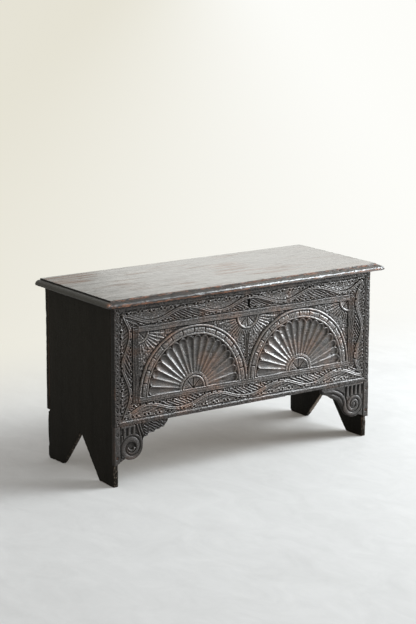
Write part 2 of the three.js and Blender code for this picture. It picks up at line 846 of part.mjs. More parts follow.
// Back strap on the outside of the back board, with a knuckle each side of the tongue.
function backStrap(x) {
  const wide = strapWidth / 2;
  const gap = tongueWidth / 2 + knuckleGap;
  const strap = strapOutline(0, leafLength, strapWidth, strapTipWidth);
  const shoulder = hingeZ - knuckleRadius - 2 * knuckleGap;
  const geometry = extruded(strap, strapThickness, 6);
  geometry.rotateX(-Math.PI / 2);
  geometry.translate(x, caseDepth + seatGap, shoulder);
  const ears = [[x - wide, x - gap], [x + gap, x + wide]];
  const face = caseDepth + seatGap;
  const parts = ears.flatMap(([x0, x1]) => [
    knuckle(x0, x1),
    block(x0, x1, face, face + strapThickness, shoulder - 1, hingeZ),
  ]);
  return joined([solid(geometry), ...parts]).subtract(hingeBore(x - wide - 1, x + wide + 1));
}

function hingePin(x) {
  const half = strapWidth / 2 + seatGap;
  const end = half + pinHeadLength;
  const profile = [
    [0, -end], [pinHeadRadius * 0.7, -end], [pinHeadRadius, -half - pinHeadLength / 2],
    [pinHeadRadius, -half], [pinRadius, -half], [pinRadius, half], [pinHeadRadius, half],
    [pinHeadRadius, half + pinHeadLength / 2], [pinHeadRadius * 0.7, end], [0, end],
  ];
  return turned(profile, 16, [x, hingeY, hingeZ], alongX);
}

// Lock: a plate with bolt guides on the inside of the front, under a box that the staple drops into.
function boltBlock(grow, x0, x1) {
  const half = boltSection / 2 + grow;
  return block(x0, x1, boltY - half, boltY + half, boltZ - half, boltZ + half);
}

function lockPlate() {
  const face = lockPlateY + lockPlateThickness;
  const plate = block(
    keyX - lockPlateLeft, lockCaseRight + lockCaseMargin, lockPlateY, face,
    keyZ - lockPlateBottom, keyZ + lockPlateTop,
  );
  const starts = [keyX - boltLeft + guideInset, boltTipX - guideInset - guideWidth];
  const half = boltSection / 2 + guideWall;
  const guides = starts.map((x) => block(
    x, x + guideWidth, face - 1, boltY + half, boltZ - half, boltZ + half,
  ));
  const keyhole = prismY(keyholeOutline(), lockPlateY - 1, face + 1, 6);
  const channel = boltBlock(runningGap, starts[0] - 1, starts[1] + guideWidth + 1);
  return cutBy(joined([plate, ...guides]), [keyhole, channel]);
}

function lockCase() {
  const x0 = keyX - lockPlateLeft + lockCaseMargin;
  const x1 = lockCaseRight;
  const z0 = keyZ - lockPlateBottom + lockCaseMargin;
  const z1 = keyZ + lockPlateTop - lockCaseTopMargin;
  const wall = lockCaseWall;
  const shell = block(x0, x1, lockCaseY, lockCaseY + lockCaseDepth, z0, z1);
  const inside = block(x0 + wall, x1 - wall, lockCaseY - 1, lockCaseInnerBack, z0 + wall, z1 - wall);
  const slot = block(
    stapleX - slotMargin, stapleX + stapleThickness + slotMargin,
    lockCaseY - 1, lockCaseInnerBack, z1 - wall - 1, z1 + 1,
  );
  return cutBy(shell, [inside, slot]);
}

function lockBolt() {
  const bar = boltBlock(0, boltTipX - boltLength, boltTipX);
  const half = boltSection / 2;
  const talon = block(
    keyX - talonWidth / 2, keyX + talonWidth / 2, boltY - half - 1, boltY + half + 1,
    boltZ - half - 1, boltZ - half + talonDepth,
  );
  const nose = polygon([
    [boltTipX - half, boltZ - half], [boltTipX + 1, boltZ - half], [boltTipX + 1, boltZ + 1],
  ]);
  return cutBy(bar, [talon, prismY(nose, boltY - half - 1, boltY + half + 1)]);
}

function drillPin() {
  const end = keyRadius;
  return prismY(disc(keyX, keyZ, drillPinRadius), lockCaseY + end, lockCaseInnerBack - seatGap, 6);
}

// Staple under the lid: a loop in the y and z plane that the bolt passes through.
function lidStaple() {
  const eyeHalf = boltSection / 2 + eyeSide;
  const eyeBottom = boltZ - boltSection / 2 - eyeBelow;
  const under = lidBottom - seatGap;
  const x0 = stapleX;
  const x1 = stapleX + stapleThickness;
  const reach = eyeHalf + stapleLeg;
  return joined([
    block(x0, x1, boltY - reach, boltY - eyeHalf, eyeBottom - stapleLeg, under),
    block(x0, x1, boltY + eyeHalf, boltY + reach, eyeBottom - stapleLeg, under),
    block(x0, x1, boltY - reach, boltY + reach, eyeBottom - stapleLeg, eyeBottom),
    block(
      x0 - staplePlateMargin, x1 + staplePlateMargin,
      frontThickness + runningGap, boltY + reach + staplePlateMargin,
      under - staplePlateThickness, under,
    ),
  ]);
}

const chest = new THREE.Group();
chest.add(
  mesh('lid_board', lidBoard(), oakLid),
  mesh('front_board', frontBoard(), oakDark),
  mesh('back_board', backBoard(), oakDark),
  mesh('left_end_board', endBoard(-1), oakDark),
  mesh('right_end_board', endBoard(1), oakDark),
  mesh('floor_board', floorBoard(), oakInside),
  mesh('left_bracket', leftBracket(), oakDark),
  mesh('right_bracket', rightBracket(), oakDark),
  mesh('till_side', tillSide(), oakInside),
  mesh('till_bottom', tillBottomBoard(), oakInside),
  mesh('till_lid', tillLid(), oakInside),
  mesh('lock_plate', lockPlate(), iron),
  mesh('lock_case', lockCase(), iron),
  mesh('lock_bolt', lockBolt(), iron),
  mesh('lock_drill_pin', drillPin(), iron),
  mesh('lid_staple', lidStaple(), iron),
);
for (const [word, x] of [['left', -hingeOffset], ['right', hingeOffset]]) {
  chest.add(
    mesh(`lid_strap_${word}`, lidStrap(x), iron),
    mesh(`back_strap_${word}`, backStrap(x), iron),
    mesh(`hinge_pin_${word}`, hingePin(x), iron),
  );
}
for (const [name, x, z, facing] of nailPlaces()) {
  chest.add(mesh(name, nailSolid(x, z, facing, 0), iron));
}

// The origin is at floor level under the middle of the chest, lid and hinges included.
const hingeBack = hingeY + knuckleRadius;
chest.position.y = -(hingeBack - lidFrontOverhang) / 2;

export default chest;
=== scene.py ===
import math
import bpy
import numpy as np
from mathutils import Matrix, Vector


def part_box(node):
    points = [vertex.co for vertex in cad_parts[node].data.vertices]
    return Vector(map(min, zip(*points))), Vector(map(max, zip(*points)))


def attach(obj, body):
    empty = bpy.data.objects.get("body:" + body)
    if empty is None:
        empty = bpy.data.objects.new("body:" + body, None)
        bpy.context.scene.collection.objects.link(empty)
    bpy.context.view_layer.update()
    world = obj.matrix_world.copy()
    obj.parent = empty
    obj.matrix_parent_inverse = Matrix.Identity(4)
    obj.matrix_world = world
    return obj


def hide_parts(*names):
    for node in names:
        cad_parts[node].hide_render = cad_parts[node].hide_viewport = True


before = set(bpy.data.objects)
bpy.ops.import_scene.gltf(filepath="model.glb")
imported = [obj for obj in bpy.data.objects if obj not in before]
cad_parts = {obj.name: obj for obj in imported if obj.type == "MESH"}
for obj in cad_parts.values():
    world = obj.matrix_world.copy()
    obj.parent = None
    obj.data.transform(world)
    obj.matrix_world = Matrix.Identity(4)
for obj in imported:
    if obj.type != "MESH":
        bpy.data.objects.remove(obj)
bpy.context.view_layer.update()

mm = 0.001
halfCase = 498.25  # mm from the middle to the case's outside
print("stage: frame loaded")

# camera, floor and light

camera = {
    "place": (-3.4030, -4.8147, 1.7672),
    "turn": (77.439, -0.125, -35.094),  # degrees
    "lens": 107.87,  # mm, on a 36 mm tall frame
}
studio = {
    "ambient": 0.50,  # soft light from all round
    "ambientColor": (0.98, 0.98, 1.0),
    "leftWall": (0.79, 0.765, 0.665),
    "rightWall": (0.985, 0.985, 0.95),
    "floorColor": (0.545, 0.545, 0.535),
    "floorGlow": 0.09,
    "floorGlowColor": (1.0, 0.93, 0.80),
    "floorReach": 40,  # m each way
}
lamps = {
    "window": {"place": (4.5, -1.45, 1.65), "target": (0, -0.1, 0.35), "size": (3.2, 2.2),
               "power": 390, "color": (0.93, 0.97, 1.0)},
    "fill": {"place": (1.9, -1.5, 3.1), "target": (0, 0, 0.3), "size": (1.3, 1.5),
             "power": 72, "color": (0.87, 0.94, 1.0)},
    "bounce": {"place": (3.0, 2.3, 1.2), "target": (0, 0, 0.5), "size": (3.6, 2.2),
               "power": 8, "color": (1.0, 0.99, 0.96)},
}


def addCamera():
    data = bpy.data.cameras.new("camera")
    data.sensor_fit = "VERTICAL"
    data.sensor_height = 36
    data.lens = camera["lens"]
    data.clip_end = 100
    made = bpy.data.objects.new("camera", data)
    made.location = camera["place"]
    made.rotation_euler = [math.radians(a) for a in camera["turn"]]
    bpy.context.scene.collection.objects.link(made)
    bpy.context.scene.camera = made


def addLamp(name, place, target, size, power, color):
    data = bpy.data.lights.new(name, "AREA")
    data.shape = "RECTANGLE"
    data.size, data.size_y = size
    data.energy = power
    data.color = color
    made = bpy.data.objects.new(name, data)
    made.location = place
    way = Vector(target) - Vector(place)
    made.rotation_euler = way.to_track_quat("-Z", "Y").to_euler()
    bpy.context.scene.collection.objects.link(made)


# shader sums


class Value:
    # one socket of a material; + - * on it add Math nodes
    def __init__(self, nodes, socket):
        self.nodes = nodes
        self.socket = socket

    def math(self, operation, *items, clamp=False):
        settings = {"operation": operation, "use_clamp": clamp}
        return self.nodes.node("Math", settings, dict(enumerate(items)))

    def __add__(self, other):
        return self.math("ADD", self, other)

    def __radd__(self, other):
        return self.math("ADD", other, self)

    def __sub__(self, other):
        return self.math("SUBTRACT", self, other)

    def __rsub__(self, other):
        return self.math("SUBTRACT", other, self)

    def __mul__(self, other):
        return self.math("MULTIPLY", self, other)

    def __rmul__(self, other):
        return self.math("MULTIPLY", other, self)

    def clamped(self):
        return self.math("ADD", self, 0.0, clamp=True)

    def between(self, low, high):
        # 0 below low, 1 above high, smooth in the middle
        settings = {"interpolation_type": "SMOOTHSTEP"}
        sockets = {"Value": self, "From Min": low, "From Max": high}
        return self.nodes.node("MapRange", settings, sockets)


class Nodes:
    # the nodes of one material or of the world
    def __init__(self, owner):
        owner.use_nodes = True
        self.tree = owner.node_tree

    def put(self, socket, item):
        if isinstance(item, Value):
            self.tree.links.new(item.socket, socket)
        elif hasattr(socket.default_value, "__len__") and len(item) < len(socket.default_value):
            socket.default_value = (*item, 1.0)
        else:
            socket.default_value = item

    def node(self, kind, settings=None, sockets=None, out=0):
        made = self.tree.nodes.new("ShaderNode" + kind)
        for name, setting in (settings or {}).items():
            setattr(made, name, setting)
        for key, item in (sockets or {}).items():
            self.put(made.inputs[key], item)
        return Value(self, made.outputs[out])

    def mix(self, factor, first, second, blend="MIX"):
        settings = {"data_type": "RGBA", "blend_type": blend}
        return self.node("Mix", settings, {0: factor, 6: first, 7: second}, out=2)

    def attribute(self, name):
        return self.node("Attribute", {"attribute_name": name}, out="Fac")

    def along(self, way, kind="Object"):
        # how far along X, Y or Z a place lies
        place = self.node("TexCoord", out=kind)
        return self.node("SeparateXYZ", None, {0: place}, out=way)

    def rays(self, *kinds):
        # 1 for these kinds of ray, 0 for all others
        found = [self.node("LightPath", out=kind) for kind in kinds]
        return sum(found[1:], found[0]).clamped()

    def noise(self, scale, shift=(0, 0, 0), detail=3.0, rough=0.55, bend=0.0):
        # scale: how many patches to a metre, one number or one for each way
        scale = scale if isinstance(scale, tuple) else (scale, scale, scale)
        place = self.node("TexCoord", out="Object")
        place = self.node("Mapping", None, {"Vector": place, "Location": shift, "Scale": scale})
        sockets = {"Vector": place, "Scale": 1.0, "Detail": detail, "Roughness": rough,
                   "Distortion": bend}
        return self.node("TexNoise", None, sockets)


class Finish(Nodes):
    # a material with one shader; fixed values go straight into its sockets
    def __init__(self, name, **fixed):
        self.material = bpy.data.materials.new(name)
        super().__init__(self.material)
        self.shader = self.tree.nodes["Principled BSDF"]
        for key, item in fixed.items():
            self.put(self.shader.inputs[key.replace("_", " ")], item)

    def set(self, socket, item):
        self.put(self.shader.inputs[socket], item)

    def bump(self, height, depth, strength=1.0):
        sockets = {"Strength": strength, "Distance": depth, "Height": height}
        self.set("Normal", self.node("Bump", None, sockets))


def setWorld():
    world = bpy.data.worlds.new("studio")
    bpy.context.scene.world = world
    sky = Nodes(world)
    shown = sky.rays("Is Camera Ray", "Is Glossy Ray", "Is Transmission Ray")
    side = sky.along("X", "Generated").between(-0.6, 1.1)
    wall = sky.mix(side, studio["leftWall"], studio["rightWall"])
    glow = {"Color": studio["ambientColor"], "Strength": studio["ambient"]}
    light = sky.node("Background", None, glow)
    plain = sky.node("Background", None, {"Color": wall, "Strength": 1.0})
    both = sky.node("MixShader", None, {0: shown, 1: light, 2: plain})
    sky.put(sky.tree.nodes["World Output"].inputs["Surface"], both)


def addFloor():
    reach = studio["floorReach"]
    mesh = bpy.data.meshes.new("floor")
    corners = [(-reach, -reach, 0), (reach, -reach, 0), (reach, reach, 0), (-reach, reach, 0)]
    mesh.from_pydata(corners, [], [(0, 1, 2, 3)])
    floor = bpy.data.objects.new("floor", mesh)
    bpy.context.scene.collection.objects.link(floor)
    look = Finish("pale floor", Roughness=0.75, Specular_IOR_Level=0.3,
                  Emission_Color=studio["floorGlowColor"], Emission_Strength=studio["floorGlow"])
    patches = look.noise(1.6, detail=5)
    trowelled = look.noise((9, 5, 7), detail=6, rough=0.65, bend=1.2)
    specks = look.noise(38, detail=4)
    tone = 0.76 + 0.14 * patches + 0.30 * trowelled + 0.05 * specks
    grey = look.node("CombineColor", None, {"Red": tone, "Green": tone, "Blue": tone})
    look.set("Base Color", look.mix(1.0, studio["floorColor"], grey, "MULTIPLY"))
    # far behind the chest the floor shows as the wall
    right, behind = look.along("X"), look.along("Y")
    side = (0.82 * right - 0.57 * behind).between(-1.9, 1.5)
    wall = look.mix(side, studio["leftWall"], studio["rightWall"])
    plain = look.node("Emission", None, {"Color": wall, "Strength": 1.0})
    far = (behind + 0.10 * right).between(0.35, 1.7)
    factor = far * look.rays("Is Camera Ray", "Is Glossy Ray")
    floorShader = Value(look, look.shader.outputs[0])
    both = look.node("MixShader", None, {0: factor, 1: floorShader, 2: plain})
    look.put(look.tree.nodes["Material Output"].inputs["Surface"], both)
    floor.data.materials.append(look.material)


addCamera()
setWorld()
addFloor()
for name, lamp in lamps.items():
    addLamp(name, **lamp)
bpy.context.scene.view_settings.view_transform = "Standard"
print("stage: camera, floor and light")

# finishes

oak = {
    "black": (0.004, 0.0033, 0.0027),
    "dark": (0.015, 0.012, 0.010),
    "brown": (0.040, 0.031, 0.026),
    # pale crest colour: partly wear on high points, partly painted highlight
    "crest": (0.135, 0.112, 0.098),
    "worn": (0.200, 0.105, 0.064),
    "end": (0.0060, 0.0052, 0.0036),
    "endPale": (0.0165, 0.0140, 0.0100),
    "sawn": (0.230, 0.185, 0.145),
    "lid": (0.030, 0.026, 0.022),
    "lidPale": (0.072, 0.062, 0.052),
    "lidBrown": (0.135, 0.072, 0.043),
    "lidWorn": (0.270, 0.112, 0.055),
    "inside": (0.135, 0.086, 0.050),
    "insidePale": (0.225, 0.150, 0.090),
    "insideDark": (0.055, 0.035, 0.021),
}
grain = {"bands": (22, 1.1), "fibres": (430, 9), "pores": (900, 42)}  # to a metre, across and along
tones = {  # how much bands and fibres count, how much darker in all, and the two colours
    "carved": (0.7, 0.6, 0.25, "dark", "brown"),
    "end": (0.8, 0.5, 0.20, "end", "endPale"),
    "lid": (1.2, 0.35, 0.30, "lid", "lidPale"),
    "inside": (0.9, 0.4, 0.20, "inside", "insidePale"),
}


def grainOf(look, way, shift=(0, 0, 0)):
    # broad bands, fine fibres and short open pores that run one way
    def scaled(across, length):
        return tuple(length if part == way else across for part in "xyz")
    bands = look.noise(scaled(*grain["bands"]), shift, detail=4, bend=0.6)
    fibres = look.noise(scaled(*grain["fibres"]), shift, detail=3, rough=0.6)
    pores = look.noise(scaled(*grain["pores"]), shift, detail=2, rough=0.4)
    return bands, fibres, pores.between(0.60, 0.72)


def grained(look, kind, bands, fibres):
    broad, fine, darker, dark, pale = tones[kind]
    factor = (bands * broad + fibres * fine - darker).clamped()
    return look.mix(factor, oak[dark], oak[pale])


def painted(look, base, *coats):
    # colours laid over one another, each by its own factor
    for factor, color in coats:
        base = look.mix(factor, base, oak[color])
    return base


def rawOak(look, base, way):
    # never stained wood where the mark "raw" is set
    bands, fibres, pores = grainOf(look, way, (5, 2, 7))
    raw = painted(look, grained(look, "inside", bands, fibres), (pores * 0.5, "insideDark"))
    return look.mix(look.attribute("raw"), base, raw)


def carvedOak():
    look = Finish("carved oak", Specular_IOR_Level=0.30, Coat_Roughness=0.24, Coat_IOR=2.0)
    bands, fibres, pores = grainOf(look, "x")
    patches = look.noise(16, detail=4)
    crest = look.attribute("crest")
    crevice = look.attribute("crevice")
    rubbed = look.attribute("rubbed")
    worn = rubbed * patches.between(0.38, 0.60) * (0.42 + 0.58 * crest)
    flecks = look.noise((130, 270, 270), detail=3, rough=0.65)
    base = painted(look, grained(look, "carved", bands, fibres),
                   # paler crests and flute hollows: partly wear on high points, partly painted
                   # highlight
                   (crest * (flecks * 2.6 - 0.75).clamped(), "crest"),
                   (flecks.between(0.56, 0.70) * (0.5 - 0.3 * crevice), "crest"),
                   ((worn + 0.15 * crest * patches.between(0.5, 0.7)).clamped(), "worn"),
                   # painted shade: black in the hollows, on the margins, rails, side borders and
                   # board rims
                   ((crevice * 0.96).clamped(), "black"),
                   ((1 - flecks.between(0.32, 0.44)) * 0.75, "black"),
                   (pores * 0.4, "black"))
    look.set("Base Color", rawOak(look, base, "x"))
    look.set("Roughness", 0.34 + 0.35 * crevice + 0.14 * fibres - 0.08 * crest)
    matt = 1.1 * crevice + 0.25 * pores + look.attribute("raw") + 0.32 * worn
    shine = 0.50 + 0.45 * look.along("X").between(-0.5, 0.5)
    look.set("Coat Weight", (0.60 + 0.6 * crest - matt).clamped() * shine)
    tooled = look.noise(320, detail=3)
    look.bump(fibres * 0.5 - pores * 0.7 + tooled * 1.1 + flecks * 1.4, 0.0011, 0.9)
    return look.material


def endOak():
    look = Finish("end oak", Specular_IOR_Level=0.07)
    bands, fibres, pores = grainOf(look, "z")
    patches = look.noise(5, detail=5)
    edge = look.attribute("crest")
    # painted shade: the boards darker towards the floor
    bands -= 0.35 * (1 - look.along("Z").between(0.05, 0.50))
    specks = look.noise((240, 240, 150), detail=4, rough=0.7)
    sawn = look.attribute("sawn")
    pale = sawn.between(0, 0.2) * (1.0 * sawn + 3.8 * specks - 2.2).clamped()
    base = painted(look, grained(look, "end", bands, fibres),
                   (patches.between(0.52, 0.75) * 0.3, "endPale"),
                   (edge * patches.between(0.46, 0.62) * 0.35, "worn"),
                   (pale, "sawn"), (pores * 0.6, "black"))
    look.set("Base Color", rawOak(look, base, "z"))
    look.set("Roughness", 0.50 + 0.20 * fibres)
    look.bump(fibres * 0.6 + bands * 0.5 - pores * 0.7 + specks * 1.2, 0.0009, 0.8)
    return look.material


def lidOak():
    look = Finish("lid oak", Coat_Roughness=0.18, Coat_IOR=1.90, Specular_IOR_Level=0.40)
    bands, fibres, pores = grainOf(look, "x", (3, 1, 2))
    clouds = look.noise((3.4, 10, 10), (4, 0, 0), detail=5)
    streaks = look.noise((3.2, 60, 60), (8, 3, 0), detail=4)
    edge = look.attribute("edge")
    rubbed = look.attribute("rubbed")
    # the quirk's painted shade
    low = look.attribute("crevice")
    brown = (clouds.between(0.44, 0.60) * streaks.between(0.40, 0.60)).clamped()
    along = look.along("X")
    brown = brown * (1 - 0.75 * along.between(0.0, 0.42))
    scuffs = look.noise((45, 120, 120), detail=4, rough=0.65)
    knocks = look.noise((75, 190, 190), (1, 5, 2), detail=4, rough=0.7)
    # black knocks on the moulding, more of them towards the left: partly knocks, partly painted
    # shade
    dull = edge * (1 - knocks.between(0.42, 0.56)) * (1 - 0.65 * along.between(-0.3, 0.2))
    # painted shade: the lid's left end, turned away from the light, is set near black and less
    # glossy
    paintedShadeLeftEnd = edge * (1 - along.between(-0.522, -0.514)) * (1 - rubbed)
    base = painted(look, grained(look, "lid", bands, fibres),
                   (brown * 0.95, "lidBrown"), (edge * 0.9, "dark"),
                   ((rubbed * scuffs.between(0.40, 0.58)).clamped(), "lidWorn"),
                   (dull * 0.85, "black"), (paintedShadeLeftEnd * (0.95 - 0.4 * knocks), "end"),
                   (low, "black"), (pores * 0.5, "dark"))
    look.set("Base Color", rawOak(look, base, "x"))
    waxed = look.attribute("waxed")
    look.set("Roughness", 0.32 + 0.16 * clouds + 0.12 * fibres + 0.4 * low - 0.26 * waxed)
    speckle = look.noise((26, 150, 150), (2, 7, 1), detail=4, rough=0.7)
    matt = brown * 0.55 + streaks.between(0.40, 0.70) * 0.20 + edge * 0.95 + rubbed * 0.1 + low
    matt = matt + 0.93 * (1 - along.between(-0.80, 0.10)) - 0.08
    matt += 0.42 * fibres.between(0.44, 0.66) * (1 - edge)
    matt += 0.36 * speckle.between(0.50, 0.62) * (1 - edge)
    waxed = waxed * (1 - 0.8 * rubbed * scuffs.between(0.42, 0.58))
    shine = 1.27 - 0.85 * matt - 0.1 * edge + waxed - 0.5 * low - look.attribute("raw")
    look.set("Coat Weight", shine.clamped() * (1 - 0.9 * dull) * (1 - 0.8 * paintedShadeLeftEnd))
    look.bump(fibres * 0.4 + bands * 0.4 - pores * 0.6 + 2.2 * edge * knocks, 0.0005, 0.6)
    return look.material


def innerOak():
    look = Finish("inner oak", Specular_IOR_Level=0.35)
    bands, fibres, pores = grainOf(look, "x", (9, 4, 1))
    patches = look.noise(4, detail=5)
    base = painted(look, grained(look, "inside", bands, fibres),
                   (patches.between(0.50, 0.74) * 0.6, "insideDark"), (pores * 0.5, "insideDark"))
    look.set("Base Color", base)
    look.set("Roughness", 0.66 + 0.16 * fibres)
    look.bump(fibres * 0.6 - pores * 0.6, 0.0006, 0.8)
    return look.material


def wroughtIron():
    look = Finish("wrought iron", Metallic=0.9)
    hammer = look.noise(90, detail=2)
    scale = look.noise(420, detail=4)
    rust = look.noise(38, detail=5).between(0.50, 0.68)
    base = look.mix(hammer, (0.040, 0.037, 0.036), (0.085, 0.080, 0.078))
    look.set("Base Color", look.mix(rust * 0.7, base, (0.110, 0.052, 0.030)))
    look.set("Roughness", 0.46 + 0.24 * rust + 0.14 * scale)
    look.bump(hammer + 0.3 * scale, 0.0008, 0.6)
    return look.material


finishes = {
    "carved": carvedOak(), "end": endOak(), "back": endOak(), "lid": lidOak(),
    "inner": innerOak(), "iron": wroughtIron(),
}
print("stage: finishes")

# helpers for shapes


def smooth(low, high, value):
    share = np.clip((value - low) / (high - low), 0, 1)
    return share * share * (3 - 2 * share)


def fade(low, high, value):
    return 1 - smooth(low, high, value)


def stripe(low, high, value):
    # 1 round zero, 0 beyond high on both sides
    return fade(low, high, np.abs(value))


def dome(offset):
    # a half circle's height: 1 in the middle, 0 at -1 and 1
    return np.sqrt(np.clip(1 - offset ** 2, 0, 1))


def hills(x, z, size, seed):
    # soft random hills about size across, from -1 to 1
    count = 61
    table = np.random.default_rng(seed).uniform(-1, 1, (count, count))
    u, v = x / size, z / size
    i, j = np.floor(u).astype(int), np.floor(v).astype(int)
    fu, fv = u - i, v - j
    fu, fv = fu * fu * (3 - 2 * fu), fv * fv * (3 - 2 * fv)

    def row(j):
        return table[i % count, j % count] * (1 - fu) + table[(i + 1) % count, j % count] * fu

    return row(j) * (1 - fv) + row(j + 1) * fv


def ripple(value, size, seed):
    # the same along one way only
    return hills(value, 0 * value, size, seed)


def edgeDistance(x, z, left, right, bottom, top):
    return np.minimum(np.minimum(x - left, right - x), np.minimum(z - bottom, top - z))


def lineDistance(x, z, points):
    # distance to a run of straight pieces
    best = np.full(x.shape, np.inf)
    for (ax, az), (bx, bz) in zip(points[:-1], points[1:]):
        length = math.hypot(bx - ax, bz - az)
        share = np.clip(((x - ax) * (bx - ax) + (z - az) * (bz - az)) / length ** 2, 0, 1)
        away = np.hypot(x - ax - share * (bx - ax), z - az - share * (bz - az))
        best = np.minimum(best, away)
    return best


def blurred(field, reach):
    # box blur twice along both ways of a grid
    for _ in range(2):
        for way in (0, 1):
            before = np.repeat(field.take([0], way), reach, way)
            after = np.repeat(field.take([-1], way), reach, way)
            total = np.cumsum(np.concatenate([before, field, after], way), way)
            total = np.concatenate([np.zeros_like(total.take([0], way)), total], way)
            size, wide = field.shape[way], 2 * reach + 1
            last = total.take(range(wide, wide + size), way)
            field = (last - total.take(range(size), way)) / wide
    return field


def gridFaces(rows, columns):
    index = np.arange(rows * columns).reshape(rows, columns)
    corners = [index[:-1, :-1], index[:-1, 1:], index[1:, 1:], index[1:, :-1]]
    return np.stack(corners, -1).reshape(-1, 4)


def ringOf(rows, columns):
    # the grid's rim, once round
    index = np.arange(rows * columns).reshape(rows, columns)
    return np.concatenate([index[0, :-1], index[:-1, -1], index[-1, :0:-1], index[:0:-1, 0]])


def skirt(ring, start):
    # faces between one ring of points and the next, which begins at start
    size = len(ring)
    loop = np.arange(size)
    follow = (loop + 1) % size
    return np.stack([ring[follow], ring[loop], start + loop, start + follow], -1)


def finishMesh(mesh, marks):
    # smooth faces, and the marks that the finishes read
    mesh.polygons.foreach_set("use_smooth", [True] * len(mesh.polygons))
    for word, values in marks.items():
        layer = mesh.attributes.new(word, "FLOAT", "POINT")
        full = np.zeros(len(mesh.vertices), np.float32)
        full[:len(values)] = values
        layer.data.foreach_set("value", full)
    mesh.update()


def makePiece(name, points, faces, material, body, nodes, marks):
    mesh = bpy.data.meshes.new(name)
    mesh.from_pydata((points * mm).tolist(), [], faces)
    finishMesh(mesh, marks)
    piece = bpy.data.objects.new(name, mesh)
    bpy.context.scene.collection.objects.link(piece)
    return settle(piece, material, body, nodes)


def settle(piece, material, body, nodes):
    piece.data.materials.clear()
    piece.data.materials.append(material)
    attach(piece, body)
    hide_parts(*nodes)
    return piece


def sharpen(piece, degrees):
    # edges steeper than this stay crisp
    piece.data.set_sharp_from_angle(angle=math.radians(degrees))


def reliefMarks(depth, toEdge):
    # where the carving stands proud, marked for paler crests that are partly wear and partly
    # painted highlight, and where it is deep, marked for painted shade
    mean = blurred(depth, 2)
    wide = blurred(depth, 8)
    crest = np.clip((mean - depth) / 0.8, 0, 1) * 0.8
    crest += np.clip((wide - depth) / 3.0, 0, 1) * 0.4
    crevice = np.clip((depth - mean - 0.1) / 0.8, 0, 1) * 0.8
    crevice += np.clip((depth - wide - 0.8) / 4.0, 0, 1) * 0.5
    crest = np.maximum(crest, 0.35 * fade(0, 2.5, toEdge))
    return np.clip(crest, 0, 1), np.clip(crevice, 0, 1)


def pitched(value, pitch):
    # which cut of a row a place belongs to, and a curved hollow with sharp ridges between
    index = np.floor(value / pitch)
    share = value / pitch - index
    return index, 1 - (2 * np.abs(share - 0.5)) ** 2


def faceAndRim(x, y, z, back):
    # the points of a carved face, which of them lie on its rim, and the rim again at the back
    points = np.stack([x, y, z], -1).reshape(-1, 3)
    ring = ringOf(*x.shape)
    rim = points[ring].copy()
    rim[:, 1] = back
    return points, ring, rim


def carvedMarks(crest, crevice, rubbed, rim):
    # painted shade: the faces round the board's rim are set dark
    crevice = np.concatenate([crevice.reshape(-1), np.full(len(rim), 0.9)])
    return {"crest": crest.reshape(-1), "crevice": crevice, "rubbed": rubbed.reshape(-1)}


# the carved front

front = {
    "step": 1.3,  # mm between points of the carved face
    "sideMargin": 18, "topMargin": 16, "bottomMargin": 12,
    "borderSide": 50, "borderTop": 57, "borderBottom": 52,
    "railSide": 20, "railTop": 17, "railBottom": 16,
    "borderGround": 4.2, "panelGround": 7.0,
    "strokePitch": 7.6, "strokeDepth": 5.0,
    "ribbonHalf": 5.4, "ribbonMiddle": 0.54, "ribbonSwing": 0.27,  # shares of the border's width
    "nickPitch": 5.2, "nickLine": 3.2, "dotRadius": 4.0,
    "dartFoot": 60, "dartTop": 152, "dartHalf": 10, "dartDots": 11,
    "keyX": 4, "keyDrop": 41.4, "keyRadius": 5.6, "slotHalf": 3.6, "slotDrop": 20.5,
    "marginDots": 12.6,
    "nailRadius": 4.6, "nailPit": 2.9, "oldHole": (-488, 517), "chip": 160,
    "wobble": 1.0,
}
borders = {
    # turns: where the ribbon touches its outer side, its inner side, its outer side ...
    # dots: how far in (below zero from the inner side), the first, the pitch, half a pair's width
    "top": {"turns": [-478, -365, -234, -110, 12, 142, 264, 393, 472], "lean": 27,
            "dots": [(-8, 8, 22, 0), (12, 6, 41, 7)], "seed": 21},
    "bottom": {"turns": [-474, -380, -255, -130, 0, 130, 250, 370, 472], "lean": 27,
               "dots": [(-7, 3, 24, 0), (12, 5, 43, 7)], "seed": 31},
    "left": {"turns": [552, 475, 380, 285, 196], "lean": 58,
             "dots": [(9, 4, 23, 0), (-8, 9, 25, 0)], "seed": 41},
    "right": {"turns": [554, 470, 374, 288, 196], "lean": 58,
              "dots": [(9, 9, 23, 0), (-8, 2, 25, 0)], "seed": 51},
}
rosettes = [  # place as a share of half the panel, radius, spokes in degrees, rays, seed
    (0, 42, (-45, -90, -135), 46, 61),
    (-1, 38, (-45,), 40, 62),
    (1, 38, (-135,), 40, 63),
]
lunette = {
    "radius": 204.7, "roll": 8.5, "blocks": 16.5, "bead": 8.5,
    "blockCount": 14, "jointWidth": 3.0, "jointDepth": 4.2,
    "land": 2.0, "flutes": 18, "fluteDepth": 6.5, "tipGap": 2.5, "fill": 0.95,
    "spandrelDepth": 6.2, "lean": 0.20,  # how far the hollows' deepest line lies to one side
    "hub": 43, "hubGroove": 2.5, "hubLand": 6.5, "rim": 6.5,
}
wornPlaces = [  # where hands and cloths have rubbed the wood brown: x, z, reach
    (-150, 335, 62), (-110, 300, 40), (-365, 350, 48), (-300, 470, 36), (-60, 480, 42),
    (120, 470, 50), (60, 360, 40), (255, 452, 40), (330, 330, 46), (-430, 230, 40),
    (-250, 235, 60), (60, 240, 60), (140, 520, 40), (-440, 420, 40), (440, 320, 46),
    (-20, 330, 36), (300, 236, 46), (-180, 520, 36), (-120, 285, 55), (-400, 268, 34),
    (-205, 278, 26), (-425, 465, 26), (158, 330, 50),
]


